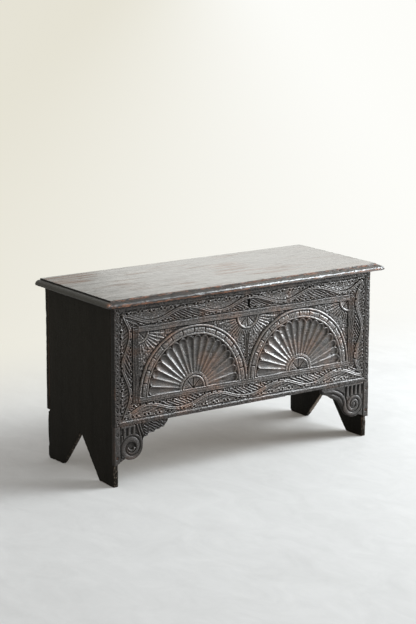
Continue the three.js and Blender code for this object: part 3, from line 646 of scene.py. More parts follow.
def waveAt(place, turns, middle, swing):
    # centre line of a ribbon that touches its outer and inner side by turns
    order = np.argsort(turns)
    phases = np.arange(len(turns)) * math.pi
    phase = np.interp(place, np.array(turns, float)[order], phases[order])
    return middle - swing * np.cos(phase)


def gouges(x, z, lean, pitch, seed):
    # a row of leaning cuts, curved and of uneven depth
    away = x * math.sin(lean) + z * math.cos(lean)
    away = away + 4.0 * hills(x, z, 60, seed) + 0.8 * hills(x, z, 19, seed + 1)
    index, cut = pitched(away, pitch)
    return index, cut * (0.82 + 0.18 * ripple(index * 7.7, 3.0, seed + 2))


def borderDepth(x, z, place, inward, width, turns, lean, dots, seed):
    lean = math.radians(lean)
    centre = waveAt(place, turns, width * front["ribbonMiddle"], width * front["ribbonSwing"])
    off = inward - centre
    depth = front["borderGround"] + 0.8 * hills(x, z, 3.4, seed + 1)
    depth += 0.6 * hills(x, z, 12, seed + 9)
    # leaf strokes on the inner side of the ribbon
    room = width - 6 - centre
    index, cut = gouges(x, z, lean, front["strokePitch"], seed + 2)
    ragged = 2.2 * ripple(index * 5.3, 2.6, seed + 4)
    leaf = smooth(3, 5, off) * smooth(width - 3.5 + ragged, width - 8 + ragged, inward)
    leaf *= smooth(4, 9, room)
    depth += leaf * (0.6 - depth + front["strokeDepth"] * cut)
    # shallow hollow lobes with a few veins on the outer side
    inner = centre - 5.5
    half = np.maximum((inner - 8) / 2, 0.1)
    bowl = np.clip(1 - ((inward - 8 - half) / half) ** 2, 0, 1) * smooth(3, 8, half)
    _, vein = gouges(x, z, -0.55 * lean, front["strokePitch"] * 1.25, seed + 3)
    lobe = 1.5 + 1.6 * np.sqrt(bowl) + 2.4 * vein * bowl + 0.4 * hills(x, z, 3.1, seed + 7)
    depth = np.where(bowl > 0, lobe, depth)
    # the ribbon: two fine rolls with a groove between them
    across = np.abs(off)
    half = front["ribbonHalf"]
    depth = np.maximum(depth, 5.2 * stripe(0.6, 2.2, across - half - 1))
    ribbon = 2.4 * fade(0.2, 1.4, across) + 4.8 * smooth(4.3, half + 0.6, across)
    depth = np.where(across < half + 0.6, ribbon, depth)
    # punched dots in a row on both sides
    for level, first, pitch, pair in dots:
        spot = np.round((place - first) / pitch)
        near = place - first - spot * pitch + 2.4 * ripple(spot * 9.1, 2.2, seed + 5)
        near = np.abs(near) - pair if pair else near
        level = level if level > 0 else width + level
        away = np.hypot(near, inward - level - 1.5 * ripple(place, 22, seed + 6))
        depth += 7.0 * fade(2.7, front["dotRadius"], away)
        depth -= 1.2 * stripe(0.4, 1.8, away - 5.3)
    # a fine line of small nicks, and lines that close the border
    _, nick = pitched(place, front["nickPitch"])
    depth += 1.6 * nick * stripe(0.8, 2.2, inward - front["nickLine"])
    for level in (0.8, width - 2.0):
        depth += 0.9 * stripe(0.4, 1.5, inward - level)
    return np.clip(depth, 0, 9) * smooth(-3, 7, inward)


def rosetteDepth(x, z, cx, cz, radius, spokes, ground):
    away = np.hypot(x - cx, z - cz)
    turn = np.arctan2(z - cz, x - cx)
    inside = radius - lunette["rim"]
    dish = ground - 1.6 - 2.6 * np.clip(away / inside, 0, 1) ** 2
    for spoke in spokes:
        side = away * np.abs(np.sin(turn - math.radians(spoke)))
        ahead = np.cos(turn - math.radians(spoke)) > 0
        dish += np.where(ahead, 3.0 * fade(0.6, 2.4, side), 0)
    _, vein = pitched(turn, math.radians(11.25))
    dish += 1.1 * vein * smooth(6, 18, away)
    share = (away - inside) / lunette["rim"]
    rim = ground - 3.4 - 2.4 * dome(2 * share - 1)
    depth = np.where(away < inside, dish, rim)
    return np.where(away < radius, depth, ground), away, turn


def lunetteDepth(x, z, cx, cz, ground, seed):
    away = np.hypot(x - cx, z - cz) + 0.6 * hills(x, z, 40, seed)
    turn = np.degrees(np.arctan2(z - cz, x - cx))
    blockOut = lunette["radius"] - lunette["roll"]
    blockIn = blockOut - lunette["blocks"]
    landOut = blockIn - lunette["bead"]

    def roll(inner, outer, low, high):
        share = (away - inner) / (outer - inner)
        return low - (low - high) * dome(2 * share - 1)

    outerRoll = roll(blockOut, lunette["radius"], 6.0, 0.3)
    depth = np.where(away > blockOut, outerRoll, ground)
    # blocks with a bevelled outer edge and open joints
    pitch = 180 / lunette["blockCount"]
    index = np.round(turn / pitch)
    shift = 0.9 * ripple(index * 6.1, 2.7, seed + 3)
    joint = np.abs((turn / pitch - index) * math.radians(pitch) * away + shift)
    block = 1.0 + 3.4 * smooth(blockOut - 7.5, blockOut, away) ** 1.3
    block += 0.7 * hills(x, z, 4, seed + 1)
    block += 0.6 * ripple(np.floor(turn / pitch) * 8.7, 2.1, seed + 4)
    block += 1.2 * fade(0, 2.0, away - blockIn)
    wide = lunette["jointWidth"]
    block += lunette["jointDepth"] * fade(wide * 0.25, wide * 0.8, joint)
    depth = np.where((away >= blockIn) & (away <= blockOut), block, depth)
    bead = roll(landOut, blockIn, 5.6, 1.0)
    depth = np.where((away > landOut) & (away < blockIn), bead, depth)
    # hollow flutes with round ends, the wood between their ends cut away
    pitch = 180 / lunette["flutes"]
    place = np.floor(turn / pitch)
    middle = (place + 0.5) * pitch + 0.4 * ripple(place * 7.3, 3.1, seed + 2)
    side = np.radians(middle - turn) * away
    spread = math.tan(math.radians(pitch / 2)) * lunette["fill"]
    outer = landOut - lunette["tipGap"]
    widest = outer / (1 + spread)
    end = widest * spread
    half = np.minimum(away, widest) * spread
    across, beyond = side / np.maximum(half, 0.01), np.maximum(away - widest, 0) / end
    reach = np.hypot(across, beyond)
    leaning = across - lunette["lean"] * (1 - reach ** 2)
    steep = 0.62 - 0.18 * smooth(widest - 40, widest, away)
    flute = np.clip(1 - leaning ** 2 - beyond ** 2, 0, 1) ** steep * (reach < 1) * half / end
    outside = (reach - 1) * half
    start = lunette["hub"] + lunette["hubGroove"] + lunette["hubLand"]
    flute = flute * smooth(start - 1, start + 4, away)
    lip = 0.7 * stripe(0.4, 2.4, outside) * (away > widest)
    land = lunette["land"] + lunette["fluteDepth"] * flute - lip
    beside = smooth(0.7, 2.3, outside) * smooth(widest - 5, widest + 1, away)
    land += lunette["spandrelDepth"] * beside
    depth = np.where(away <= landOut, land, depth)
    depth = np.where(away < start, lunette["land"] + 0.2, depth)
    depth = np.where(away < lunette["hub"] + lunette["hubGroove"], ground - 0.6, depth)
    hub, _, _ = rosetteDepth(x, z, cx, cz, lunette["hub"], (50, 90, 130), ground)
    fan = smooth(start, start + 6, away) * (away < landOut)
    return np.where(away < lunette["hub"], hub, depth), away, fan


def raysRound(away, turn, inner, count, seed, ground):
    # leaf gouges that stand like rays round a rosette
    step = 2 * math.pi / count
    index = np.round(turn / step)
    side = (turn - index * step) * away
    longest = inner + 24 + 40 * np.abs(np.cos(index * step)) ** 3
    longest += 14 * ripple(index * 5.7, 2.3, seed)
    ridge = 3.2 * dome(side / np.minimum(away * step * 0.40, 2.8))
    return ground - ridge * smooth(inner, inner + 3, away) * fade(longest - 6, longest, away)


def panelDepth(x, z, halfWide, bottom, top):
    ground = front["panelGround"]
    depth = ground - 1.2 + 1.3 * hills(x, z, 3.6, 15)
    fan = np.zeros(x.shape)
    arch = halfWide / 2
    reach = np.minimum(np.hypot(x + arch, z - bottom), np.hypot(x - arch, z - bottom))
    clear = smooth(lunette["radius"] + 1, lunette["radius"] + 5, reach)
    for share, radius, spokes, count, seed in rosettes:
        rose, away, turn = rosetteDepth(x, z, share * halfWide, top, radius, spokes, ground)
        rays = raysRound(away, turn, radius + 2, count, seed, ground)
        depth = np.where(away > radius, np.minimum(depth, ground - (ground - rays) * clear), rose)
    # a narrow dart between the arches, with dots beside it
    start, end = bottom + front["dartFoot"], bottom + front["dartTop"]
    wide = 2 + front["dartHalf"] * np.clip((z - start) / 95, 0, 1)
    inDart = (z > start) & (z < end) & (np.abs(x) < wide)
    depth = np.where(inDart, 2.2 + 3.4 * np.abs(np.sin(np.abs(x) / wide * math.pi * 1.5)), depth)
    pitch = front["dartDots"]
    dot = np.hypot(np.abs(x) - wide - 3, z - np.round(z / pitch) * pitch)
    depth += 2.6 * fade(1.0, 2.3, dot) * (z > start + 4) * (z < end)
    for cx, seed in ((-arch, 71), (arch, 72)):
        moon, away, flutes = lunetteDepth(x, z, cx, bottom, ground, seed)
        depth = np.where(away < lunette["radius"], moon, depth)
        fan = np.maximum(fan, flutes)
    toRim = edgeDistance(x, z, -halfWide, halfWide, bottom, top)
    return depth * smooth(-0.4, 1.8, toRim), fan


def frontDepth(x, z, edges):
    _, right, low, high = edges
    u = x + front["wobble"] * hills(x, z, 47, 11)
    w = z + front["wobble"] * hills(x, z, 51, 12)
    outX = right - front["sideMargin"]
    topZ, bottomZ = high - front["topMargin"], low + front["bottomMargin"]
    inX = outX - front["borderSide"]
    railTop, railBottom = topZ - front["borderTop"], bottomZ + front["borderBottom"]
    panelX = inX - front["railSide"]
    panelTop, panelBottom = railTop - front["railTop"], railBottom + front["railBottom"]
    depth = 0.25 + 0.25 * hills(x, z, 8, 13) + 0.5 * np.clip(hills(x, z, 60, 14), 0, 1)

    # scribed lines in the margins and on the rails
    def scribe(value, levels, where):
        return sum(1.3 * stripe(0.4, 1.6, value - level) for level in levels) * where

    upright = (w > railBottom) & (w < railTop)
    depth += 1.2 * scribe(np.abs(u), (outX + 2.5,), w < topZ + 6)
    depth += scribe(w, (railTop - 3.5, railTop - 7), np.abs(u) < inX)
    depth += scribe(w, (railBottom + 3.5, panelBottom - 3.5), np.abs(u) < inX)
    depth += 2.2 * scribe(np.abs(u), (inX - 3.5, inX - 8, inX - 12.5, panelX + 3), upright)

    # the border channel, mitred at its corners
    fromTop, fromBottom = topZ - w, w - bottomZ
    tall = np.minimum(fromTop / front["borderTop"], fromBottom / front["borderBottom"])
    wide = (outX - np.abs(u)) / front["borderSide"]
    inBorder = (np.minimum(tall, wide) > 0) & (np.minimum(tall, wide) < 1)
    level = inBorder & (tall <= wide)
    beside = inBorder & (tall > wide)
    top = borderDepth(u, w, u, fromTop, front["borderTop"], **borders["top"])
    bottom = borderDepth(u, w, u, fromBottom, front["borderBottom"], **borders["bottom"])
    leftSide = borderDepth(u, w, w, u + outX, front["borderSide"], **borders["left"])
    rightSide = borderDepth(u, w, w, outX - u, front["borderSide"], **borders["right"])
    upper = w > (topZ + bottomZ) / 2
    depth = np.where(level, np.where(upper, top, bottom), depth)
    depth = np.where(beside, np.where(u < 0, leftSide, rightSide), depth)
    inPanel = (np.abs(u) < panelX) & (w > panelBottom) & (w < panelTop)
    panel, fan = panelDepth(u, w, panelX, panelBottom, panelTop)
    depth = np.where(inPanel, panel, depth)

    # painted shade on the margins, the rails and the side borders, which darkens them; punched dots
    # in the upright margins
    margin = np.minimum(tall, wide) <= 0
    paintedShade = 0.50 * margin + 0.20 * beside + 0.26 * (~margin & ~inBorder & ~inPanel)
    spot = np.round(w / front["marginDots"])
    aside = np.abs(u) - outX - 8 - 2 * ripple(spot * 4.7, 2.1, 24)
    dot = np.hypot(w - spot * front["marginDots"], aside)
    dots = fade(1.8, 3.0, dot) - 0.35 * stripe(0.4, 1.8, dot - 4.2)
    depth += (3.6 * dots * (wide <= 0) + 0.8 * hills(x, z, 3.1, 25)) * margin
    # weathered grain along the board, and the small unevenness of the cutting
    depth += 0.7 * np.clip(hills(0.08 * x, z, 2.1, 20), 0, 1)
    depth += 0.6 * hills(x, z, 3.1, 27) * (1 - 0.75 * fan * inPanel)

    # old damage: rounded arrises, a chipped lower edge, knocks
    toEdge = edgeDistance(x, z, *edges)
    soft = np.maximum(2.2 + 2.0 * hills(x, z, 26, 16), 0.4)
    depth += 1.8 * fade(0, soft, toEdge) ** 2
    depth += np.clip(hills(x, z, 19, 19) - 0.62, 0, 1) * 3.0
    chip = np.hypot((x - front["chip"]) / 9, (z - low) / 7)
    depth += 5 * fade(0.6, 1.1, chip)
    return np.clip(depth, 0, None), paintedShade, fan * inPanel


def rubbedAt(x, z):
    rubbed = smooth(0.1, 0.8, hills(x, z, 70, 17) + 0.4 * hills(x, z, 23, 18)) * 0.7
    for px, pz, reach in wornPlaces:
        rubbed = np.maximum(rubbed, np.exp(-((x - px) ** 2 + (z - pz) ** 2) / reach ** 2))
    return rubbed


def refined(start, end, step, close, fine):
    # evenly spaced places, closer together where fine detail lies
    places = [start]
    while places[-1] < end - 1e-6:
        near = any(low - step < places[-1] < high for low, high in close)
        places.append(min(end, places[-1] + (fine if near else step)))
    return np.array(places)


def nailPits(x, z, depth, prefix):
    # a nail in a shallow pit with a raised rim
    for name in sorted(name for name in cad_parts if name.startswith(prefix)):
        low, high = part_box(name)
        spotX, spotZ = (low.x + high.x) / 2 / mm, (low.z + high.z) / 2 / mm
        away = np.hypot(x - spotX, z - spotZ)
        depth = np.where(away < front["nailRadius"], front["nailPit"], depth)
        depth += 0.6 * stripe(0.2, 1.4, away - front["nailRadius"] - 0.6)
    return depth


def carveFront():
    low, high = (np.array(corner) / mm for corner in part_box("front_board"))
    face, back = low[1], high[1]
    edges = (low[0], high[0], low[2], high[2])
    keyX, keyZ = front["keyX"], high[2] - front["keyDrop"]
    xs = refined(low[0], high[0], front["step"], [(keyX - 7, keyX + 7)], 0.5)
    zs = refined(low[2], high[2], front["step"], [(keyZ - 24, keyZ + 7)], 0.5)
    x, z = np.meshgrid(xs, zs)
    depth, paintedShade, fan = frontDepth(x, z, edges)
    depth = nailPits(x, z, depth, "front_nail")
    holeX, holeZ = front["oldHole"]
    depth += 3.2 * fade(1.2, 3.0, np.hypot(x - holeX, z - holeZ))
    toEdge = edgeDistance(x, z, *edges)
    crest, crevice = reliefMarks(depth, toEdge)
    # paler crests and flute hollows: partly worn, polished wood, partly painted highlight, weaker
    # under the painted shade
    crest = np.maximum(crest * (1 - 0.6 * paintedShade), fan * (0.20 + 0.22 * hills(x, z, 14, 26)))
    # painted shade in the hollows and on the margins, rails and side borders, a little less in the
    # flutes
    crevice = np.clip(crevice * (1 - 0.2 * fan) + paintedShade, 0, 1)
    slot = (np.abs(x - keyX) < front["slotHalf"]) & (z < keyZ) & (z > keyZ - front["slotDrop"])
    hole = (np.hypot(x - keyX, z - keyZ) < front["keyRadius"]) | slot
    depth = np.where(hole, back - face - 0.1, depth)
    # painted shade round the keyhole
    crevice = np.where(blurred(hole.astype(float), 1) > 0.05, 1, crevice)
    points, ring, rim = faceAndRim(x, face + depth, z, back - 0.4)
    faces = gridFaces(*x.shape)
    faces = faces[~hole.reshape(-1)[faces].all(1)]
    # the back face goes round the keyhole
    rear = [(low[0], low[2]), (high[0], low[2]), (high[0], high[2]), (low[0], high[2])]
    rear += [(keyX - 7, keyZ - 22), (keyX + 7, keyZ - 22), (keyX + 7, keyZ + 7),
             (keyX - 7, keyZ + 7)]
    first = len(points) + len(rim)
    pairs = [(first + i, first + (i + 1) % 4) for i in range(4)]
    rearFaces = [[here + 4, follow + 4, follow, here] for here, follow in pairs]
    allPoints = np.concatenate([points, rim, [(px, back - 0.1, pz) for px, pz in rear]])
    allFaces = faces.tolist() + skirt(ring, len(points)).tolist() + rearFaces
    arris = fade(1, 5, toEdge) * smooth(0.0, 0.4, hills(x, z, 24, 28))
    marks = carvedMarks(crest, crevice, np.maximum(rubbedAt(x, z), arris), rim)
    marks["raw"] = np.concatenate([np.zeros(first), np.ones(len(rear))])
    makePiece("carved_front", allPoints, allFaces, finishes["carved"], "case", ["front_board"],
              marks)


carveFront()
print("stage: carved front")

# the two brackets

bracket = {
    "step": 1.4,
    "voluteInset": 61, "voluteDrop": 70.5, "leftPitch": 19.0, "rightPitch": 14.2,
    "fluteCount": 5, "fluteHalf": 5.8, "fluteDepth": 4.4, "fluteTop": 5, "fluteBottom": 43,
    "fluteSpan": 68, "fluteGround": 42, "stemInset": 21,
    "eye": 9, "sunkEye": 18, "crescent": 11.5,  # radii in the middle of the volutes
    "ridgeWidth": 10, "sweepStart": 36, "leafStart": 12, "ribPitch": 7.2, "veinWidth": 6,
    "rightReach": 42.5, "leftReach": 40,
    "rightEdge": [
        (303.2, 189), (306, 173), (313, 169), (322, 166.5), (332, 163), (341, 158), (352, 150),
        (364, 145), (373, 141), (384, 128), (393, 114), (398, 104)],
    "rightToe": [(475, 6), (486, 2), (498.3, 0)],  # heights above the bracket's foot
    "leftToe": [(-498.3, 0), (-488, 3), (-476, 9)],
    "leftEdge": [
        (-397.6, 122), (-397.0, 139), (-391, 147), (-383, 146.5), (-376, 150), (-375, 155),
        (-366, 157), (-355, 156), (-352, 159.5), (-345, 163), (-333, 162.5), (-331, 167),
        (-318, 167), (-316, 171), (-309, 176), (-305, 186), (-303.3, 189)],
    "rightRidge": [
        (312, 181), (330, 179), (350, 177), (370, 169), (385, 159), (395, 147), (400, 134),
        (402, 118), (405, 104), (413, 93)],
    "leftRidges": [
        [(-418, 191), (-411, 171), (-404, 150), (-401, 128)],
        [(-408, 191), (-402, 172), (-395, 156)],
        [(-472, 160), (-474, 125), (-471, 95)]],
    "rightTurn": 0.56, "leftTurn": 0.1,  # where the volute's outer coil ends, in turns
}


def lowerEdge(side, reach, cx, cz, low):
    # outline of a bracket's lower edge, as places from left to right
    turns = np.radians(np.linspace(205, 298, 40) if side > 0 else np.linspace(236, 359, 48))
    arc = [(cx + reach * math.cos(t), cz + reach * math.sin(t)) for t in turns]
    toe = [(x, low + rise) for x, rise in bracket["rightToe" if side > 0 else "leftToe"]]
    return bracket["rightEdge"] + arc + toe if side > 0 else toe + arc + bracket["leftEdge"]


def bracketDepth(x, z, side, cx, cz, high, bottom, reach):
    away = np.hypot(x - cx, z - cz)
    turn = np.arctan2(z - cz, (x - cx) * side)
    rough = 0.5 if side > 0 else 1.1
    depth = 1.6 + rough * (hills(x, z, 5, 81 + side) + hills(x, z, 17, 83 + side))
    # vertical flutes over the volute
    first = cx - bracket["fluteSpan"] / 2 * side
    pitch = bracket["fluteSpan"] / (bracket["fluteCount"] - 1)
    index = np.clip(np.round((x - first) * side / pitch), 0, bracket["fluteCount"] - 1)
    taper = 1 - 0.45 * smooth(12, 44, high - z)
    off = x - first - index * pitch * side + 0.8 * hills(z, index * 9, 21, 85)
    ends = np.clip(high - bracket["fluteTop"] - z, 0, 6) / 6
    ends = ends * np.clip(z - high + bracket["fluteBottom"], 0, 6) / 6
    hollow = dome(off / bracket["fluteHalf"] / taper) * np.sqrt(np.clip(ends, 0, 1))
    deep = bracket["fluteDepth"] * (1.0 if side > 0 else 0.7)
    depth = np.where((np.abs(x - cx) < bracket["fluteGround"]) & (z > cz + 30), 0.4, depth)
    depth = np.where(hollow > 0, 0.4 + deep * hollow, depth)
    # the volute: a roll that winds in to a round eye
    hand = "right" if side > 0 else "left"
    winding = away / bracket[hand + "Pitch"] + turn / (2 * math.pi) - bracket[hand + "Turn"]
    share = winding - np.floor(winding)
    roll = 0.3 + 4.6 * (1 - dome(2 * share - 1))
    eye = 0.8 + 4.2 * np.clip((away - 3) / 6, 0, 1) ** 3
    coiled = (winding < 2) | (side < 0)
    inVolute = (away < reach + 1.5) & (coiled | (z < cz))
    coil = np.where(away < bracket["eye"], eye, np.where(coiled, roll, 1.0))
    depth = np.where(inVolute, coil, depth)
    if side < 0:
        # a sunk eye with a crescent left standing in its lower half
        lower = smooth(-0.3, 0.6, (cz - z) / np.maximum(away, 1))
        crescent = stripe(1.6, 4.6, away - bracket["crescent"]) * lower
        rim = bracket["sunkEye"]
        depth = np.where(away < rim, 5.4 * fade(rim - 2.5, rim, away) - 4.6 * crescent, depth)
    # the stem beside it
    stem = np.abs(x) - (halfCase - bracket["stemInset"])
    depth = np.where(stem > 0, 0.5 + 0.3 * hills(x, z, 6, 87), depth)
    depth += 3.0 * stripe(0.6, 2.6, stem)
    if side > 0:
        # a smooth moulding that sweeps up from the volute to the tip
        ridge = lineDistance(x, z, bracket["rightRidge"])
        outside = ~coiled & (z < high - 10) & (x < cx)
        band = 0.4 + 4.6 * smooth(1.5, 8.5, ridge)
        onRidge = outside & (ridge < bracket["ridgeWidth"])
        depth = np.where(onRidge, np.minimum(band, depth + 2.6), depth)
        sweep = outside & (x < cx - bracket["sweepStart"]) & (ridge > 4)
        depth = np.where(sweep, np.maximum(depth, 7 * fade(1, 12, z - bottom)), depth)
    else:
        # leaf ribs that spring from the volute and run along the lower edge
        outside = ~inVolute & (x > cx + bracket["leafStart"]) & (hollow <= 0)
        along = 0.8 * (z - bottom) + 0.55 * x + 3.0 * hills(x, z, 19, 88)
        _, rib = pitched(along, bracket["ribPitch"])
        depth = np.where(outside, 0.7 + 3.6 * rib, depth)
        for line in bracket["leftRidges"]:
            ridge = lineDistance(x, z, line)
            band = np.minimum(0.2 + 4.5 * smooth(1.0, 4.5, ridge), depth + 2)
            depth = np.where((ridge < bracket["veinWidth"]) & ~inVolute, band, depth)
    toLip = np.minimum(z - bottom, high - z)
    depth += 1.6 * fade(0, 2.4, toLip) ** 2
    return np.clip(depth, 0, None)


def carveBracket(side, node):
    low, high = (np.array(corner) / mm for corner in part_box(node))
    cx = side * (halfCase - bracket["voluteInset"])
    cz = high[2] - bracket["voluteDrop"]
    reach = bracket["rightReach"] if side > 0 else bracket["leftReach"]
    line = np.array(lowerEdge(side, reach, cx, cz, low[2]))
    count = int((high[0] - low[0]) / bracket["step"])
    rows = int((high[2] - low[2]) / bracket["step"])
    xs = np.linspace(low[0], high[0], count)
    bottoms = np.interp(xs, line[:, 0], line[:, 1]) + 0.35 * np.abs(ripple(xs, 4, 89))
    bottoms = np.maximum(bottoms, low[2])
    share = np.linspace(0, 1, rows)[:, None]
    z = bottoms + share * (high[2] - bottoms)
    x = np.broadcast_to(xs, z.shape)
    depth = bracketDepth(x, z, side, cx, cz, high[2], bottoms, reach)
    depth = nailPits(x, z, depth, f"bracket_nail_{node.split('_')[0]}")
    toEdge = edgeDistance(x, z, low[0], high[0], bottoms, high[2])
    crest, crevice = reliefMarks(depth, toEdge)
    points, ring, rim = faceAndRim(x, low[1] + depth, z, high[1] - 0.1)
    start = len(points)
    # the back: one upright strip per column, from the rim's lower row to its upper one
    columns = np.arange(count - 1)
    topOf = start + (count - 1) + (rows - 1) + (count - 1) - columns
    strips = np.stack([start + columns, topOf, topOf - 1, start + columns + 1], -1)
    allFaces = gridFaces(*z.shape).tolist() + skirt(ring, start).tolist() + strips.tolist()
    rubbed = 0.35 * smooth(0.1, 0.8, hills(x, z, 30, 90 + side)) + 0.8 * fade(0, 3, toEdge)
    # painted shade: the brackets darker all over than the front, with weaker paler crests
    marks = carvedMarks(0.36 * crest, np.minimum(crevice + 0.36, 1), rubbed, rim)
    makePiece("carved_" + node, np.concatenate([points, rim]), allFaces, finishes["carved"],
              "case", [node], marks)


carveBracket(-1, "left_bracket")
carveBracket(1, "right_bracket")
print("stage: brackets")

# the lid

lid = {
    "step": 5.0,
    "nosing": 6.0, "ovolo": 16.0, "shoulder": 16.8, "frontBulge": 1.5, "endBulge": 2.0,
    "quirkStart": 15.6, "quirkEnd": 17.7, "topStart": 18.9, "quirkDepth": 6.2,
    "profile": [
        0, 0.25, 0.8, 1.8, 3.2, 5.0, 7.2, 9.8, 12.4, 14.2, 15.4, 16.0, 16.8, 17.6, 18.3, 19.0,
        20.2, 22.5],
    "backProfile": [2.5, 1.0, 0.3, 0.0],
    "paintedShade": 14.4, "frontWall": 16.9, "endWall": 19.4,  # the painted shade in the quirk, from the edge: where it begins, and where it ends at the front and at the ends
    "hollow": 0.5, "nickDepth": 4.5, "nickReach": 27, "crisp": 50,  # degrees
    # under the nosing: how far in, how high, how much the front's share is rubbed
    "nosingRings": [
        (0.0, 4.4, 0.7), (0.15, 3.2, 1.0), (0.5, 2.0, 1.0), (1.1, 1.0, 1.0), (2.0, 0.3, 0.9),
        (3.2, 0.0, 0.4), (27, 0.0, 0), (28, 0.0, 0)],
}


def lidHeight(x, y, low, high):
    rise = high[2] - low[2]
    toFront, toSide = y - low[1], np.minimum(x - low[0], high[0] - x)
    away = np.minimum(toFront, toSide)
    along = np.where(toFront < toSide, x, y + 900)
    away += 0.35 * ripple(along, 26, 91) * smooth(0, 6, away)
    share = np.clip(away / lid["ovolo"], 0, 1)
    # worn flatter along the front than at the ends
    flatter = smooth(-5, 5, toSide - toFront)
    bulge = lid["endBulge"] + (lid["frontBulge"] - lid["endBulge"]) * flatter
    swell = (1 - (1 - share) ** bulge) ** (1 / bulge)
    ovolo = lid["nosing"] + (lid["shoulder"] - lid["nosing"]) * swell
    height = np.where(away < lid["quirkStart"], ovolo, rise - lid["quirkDepth"])
    step = rise - lid["quirkDepth"] * fade(lid["quirkEnd"], lid["topStart"], away)
    height = np.where(away >= lid["quirkEnd"], step, height)
    # a slightly hollow, knocked and nicked upper face
    flat = rise - 0.25 - lid["hollow"] * smooth(-0.3, 0.9, hills(x, y, 140, 92))
    flat -= 0.35 * np.clip(hills(x, y, 13, 93), 0, 1)
    height = np.where(away > lid["topStart"], np.minimum(height, flat), height)
    nick = np.clip(hills(along, away, 7.5, 94) - 0.36, 0, 1) * lid["nickDepth"]
    nick *= fade(lid["nickReach"] - 3, lid["nickReach"], away)
    quiet = 0.35 + 0.65 * (toFront < toSide)
    height -= nick * quiet * (away < lid["nickReach"])
    wall = np.where(toFront < toSide, lid["frontWall"], lid["endWall"])
    # painted shade along the quirk: a dark band in the groove
    paintedShade = smooth(lid["paintedShade"] - 0.5, lid["paintedShade"] + 0.5, away)
    crevice = paintedShade * fade(wall, wall + 0.5, away)
    # rubbed along the moulding's edges at the front, and at its left tip
    rubbed = (away < 15.2) * smooth(10.5, 13, away) + 1 - smooth(0.4, 2.2, away)
    rubbed += 0.9 * smooth(16.8, 17.6, away) * fade(19.2, 21, away)
    patchy = smooth(-0.5, 0.5, hills(x, y, 60, 95) + 0.5 * hills(x, 3 * y, 17, 102))
    rubbed = rubbed * (toFront < toSide) * (patchy + (0.6 - 0.6 * patchy) * (away > 15))
    rubbed += 1.2 * np.exp(-np.hypot(x - low[0], y - low[1]) ** 2 / 16 ** 2)
    return np.maximum(height, lid["nosing"] - 1), crevice, np.clip(rubbed, 0, 1), away < 19


def shapeLid():
    low, high = (np.array(corner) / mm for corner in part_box("lid_board"))
    rim = np.array(lid["profile"])
    across = np.arange(rim[-1] + lid["step"], high[0] - low[0] - rim[-1] - 1, lid["step"])
    xs = np.concatenate([low[0] + rim, low[0] + across, high[0] - rim[::-1]])
    deep = np.arange(rim[-1] + lid["step"], high[1] - low[1] - 4, lid["step"])
    ys = np.concatenate([low[1] + rim, low[1] + deep, high[1] - np.array(lid["backProfile"])])
    x, y = np.meshgrid(xs, ys)
    height, crevice, rubbed, edge = lidHeight(x, y, low, high)
    height -= 0.9 * fade(0, 1.0, high[1] - y) ** 2
    points, ring, _ = faceAndRim(x, y, low[2] + height, 0)
    parts, faces, previous = [points], gridFaces(*x.shape).tolist(), ring
    start = len(points)
    ragged = 0.8 + 0.7 * hills(points[ring, 0], points[ring, 1] * 1.7, 9, 96)
    for inset, rise, _ in lid["nosingRings"]:
        level = points[ring].copy()
        inward = inset * (ragged if inset < 5 else 1 + 0 * ragged)
        level[:, 0] = np.clip(level[:, 0], low[0] + inward, high[0] - inward)
        level[:, 1] = np.clip(level[:, 1], low[1] + inward, high[1] - 0.3 * inward)
        level[:, 2] = np.minimum(low[2] + rise, points[ring, 2] - 0.05)
        parts.append(level)
        faces += skirt(previous, start).tolist()
        previous = start + np.arange(len(ring))
        start += len(ring)
    # the flat underside in one piece
    left, right = low[0] + inset, high[0] - inset
    near, far = low[1] + inset, high[1] - 0.3 * inset
    underside = [(left, near), (left, far), (right, far), (right, near)]
    parts.append(np.array([(*corner, low[2]) for corner in underside]))
    faces.append([start, start + 1, start + 2, start + 3])
    rings = len(lid["nosingRings"])
    atFront = (points[ring, 1] < low[1] + 0.01).astype(float)
    handled = atFront * (1 - 0.7 * smooth(-60, 240, points[ring, 0]))
    wear = [handled * share for _, _, share in lid["nosingRings"]]
    bright = 0.2 + 0.8 * smooth(-420, 60, points[:, 0])
    waxed = 0.9 * fade(10, 13, points[:, 1] - low[1]) * bright
    raw = np.zeros(start + 4)
    raw[-len(ring) - 4:] = 1
    marks = {
        "crevice": crevice.reshape(-1),
        "rubbed": np.concatenate([rubbed.reshape(-1), *wear]),
        "edge": np.concatenate([edge.reshape(-1), np.ones(len(ring) * rings)]),
        "waxed": np.concatenate([waxed, np.tile(0.5 * atFront * bright[ring], rings)]),
        "raw": raw,
    }
    piece = makePiece("moulded_lid", np.concatenate(parts), faces, finishes["lid"], "lid",
                      ["lid_board"], marks)
    piece.data.polygons[len(faces) - 1].use_smooth = False
    sharpen(piece, lid["crisp"])


shapeLid()
print("stage: lid")

# end boards and back board, sawn and worn

boards = {  # name, finish, slot, how pale the sawn ends are, how much the arrises are dented
    "left_end_board": ("worn_left_end", "end", "end_oak", 0.16, 1.0),
    "right_end_board": ("worn_right_end", "end", "end_oak", 1.0, 1.0),
    "back_board": ("worn_back", "back", "inner_oak", 0.0, 0.3),
}
boardWear = {  # mm
    "voxel": 3.0, "arris": (0.5, 4.5), "thinning": 0.35, "dentSize": 30, "dentDepth": 0.3,
    "knockSize": 15, "knockDepth": 2.2, "crisp": 42,  # degrees
    "waveMean": 0.4, "waveMost": 3.5, "waveReach": 30, "waveStart": (197, 211),
    "insideStart": (204, 208),  # above the floor board the inside was never stained
}
footCut = {  # the rear side of the cut between the feet, in mm: y at the apex and at the floor
    "apex": 11, "floor": 116.5, "height": 126.5, "heel": 190, "plainApex": 2.5,
    "plainCurve": [(86.6, 22), (107, 2.75), (125.3, 0)],  # y and z of the plain board's bend
}


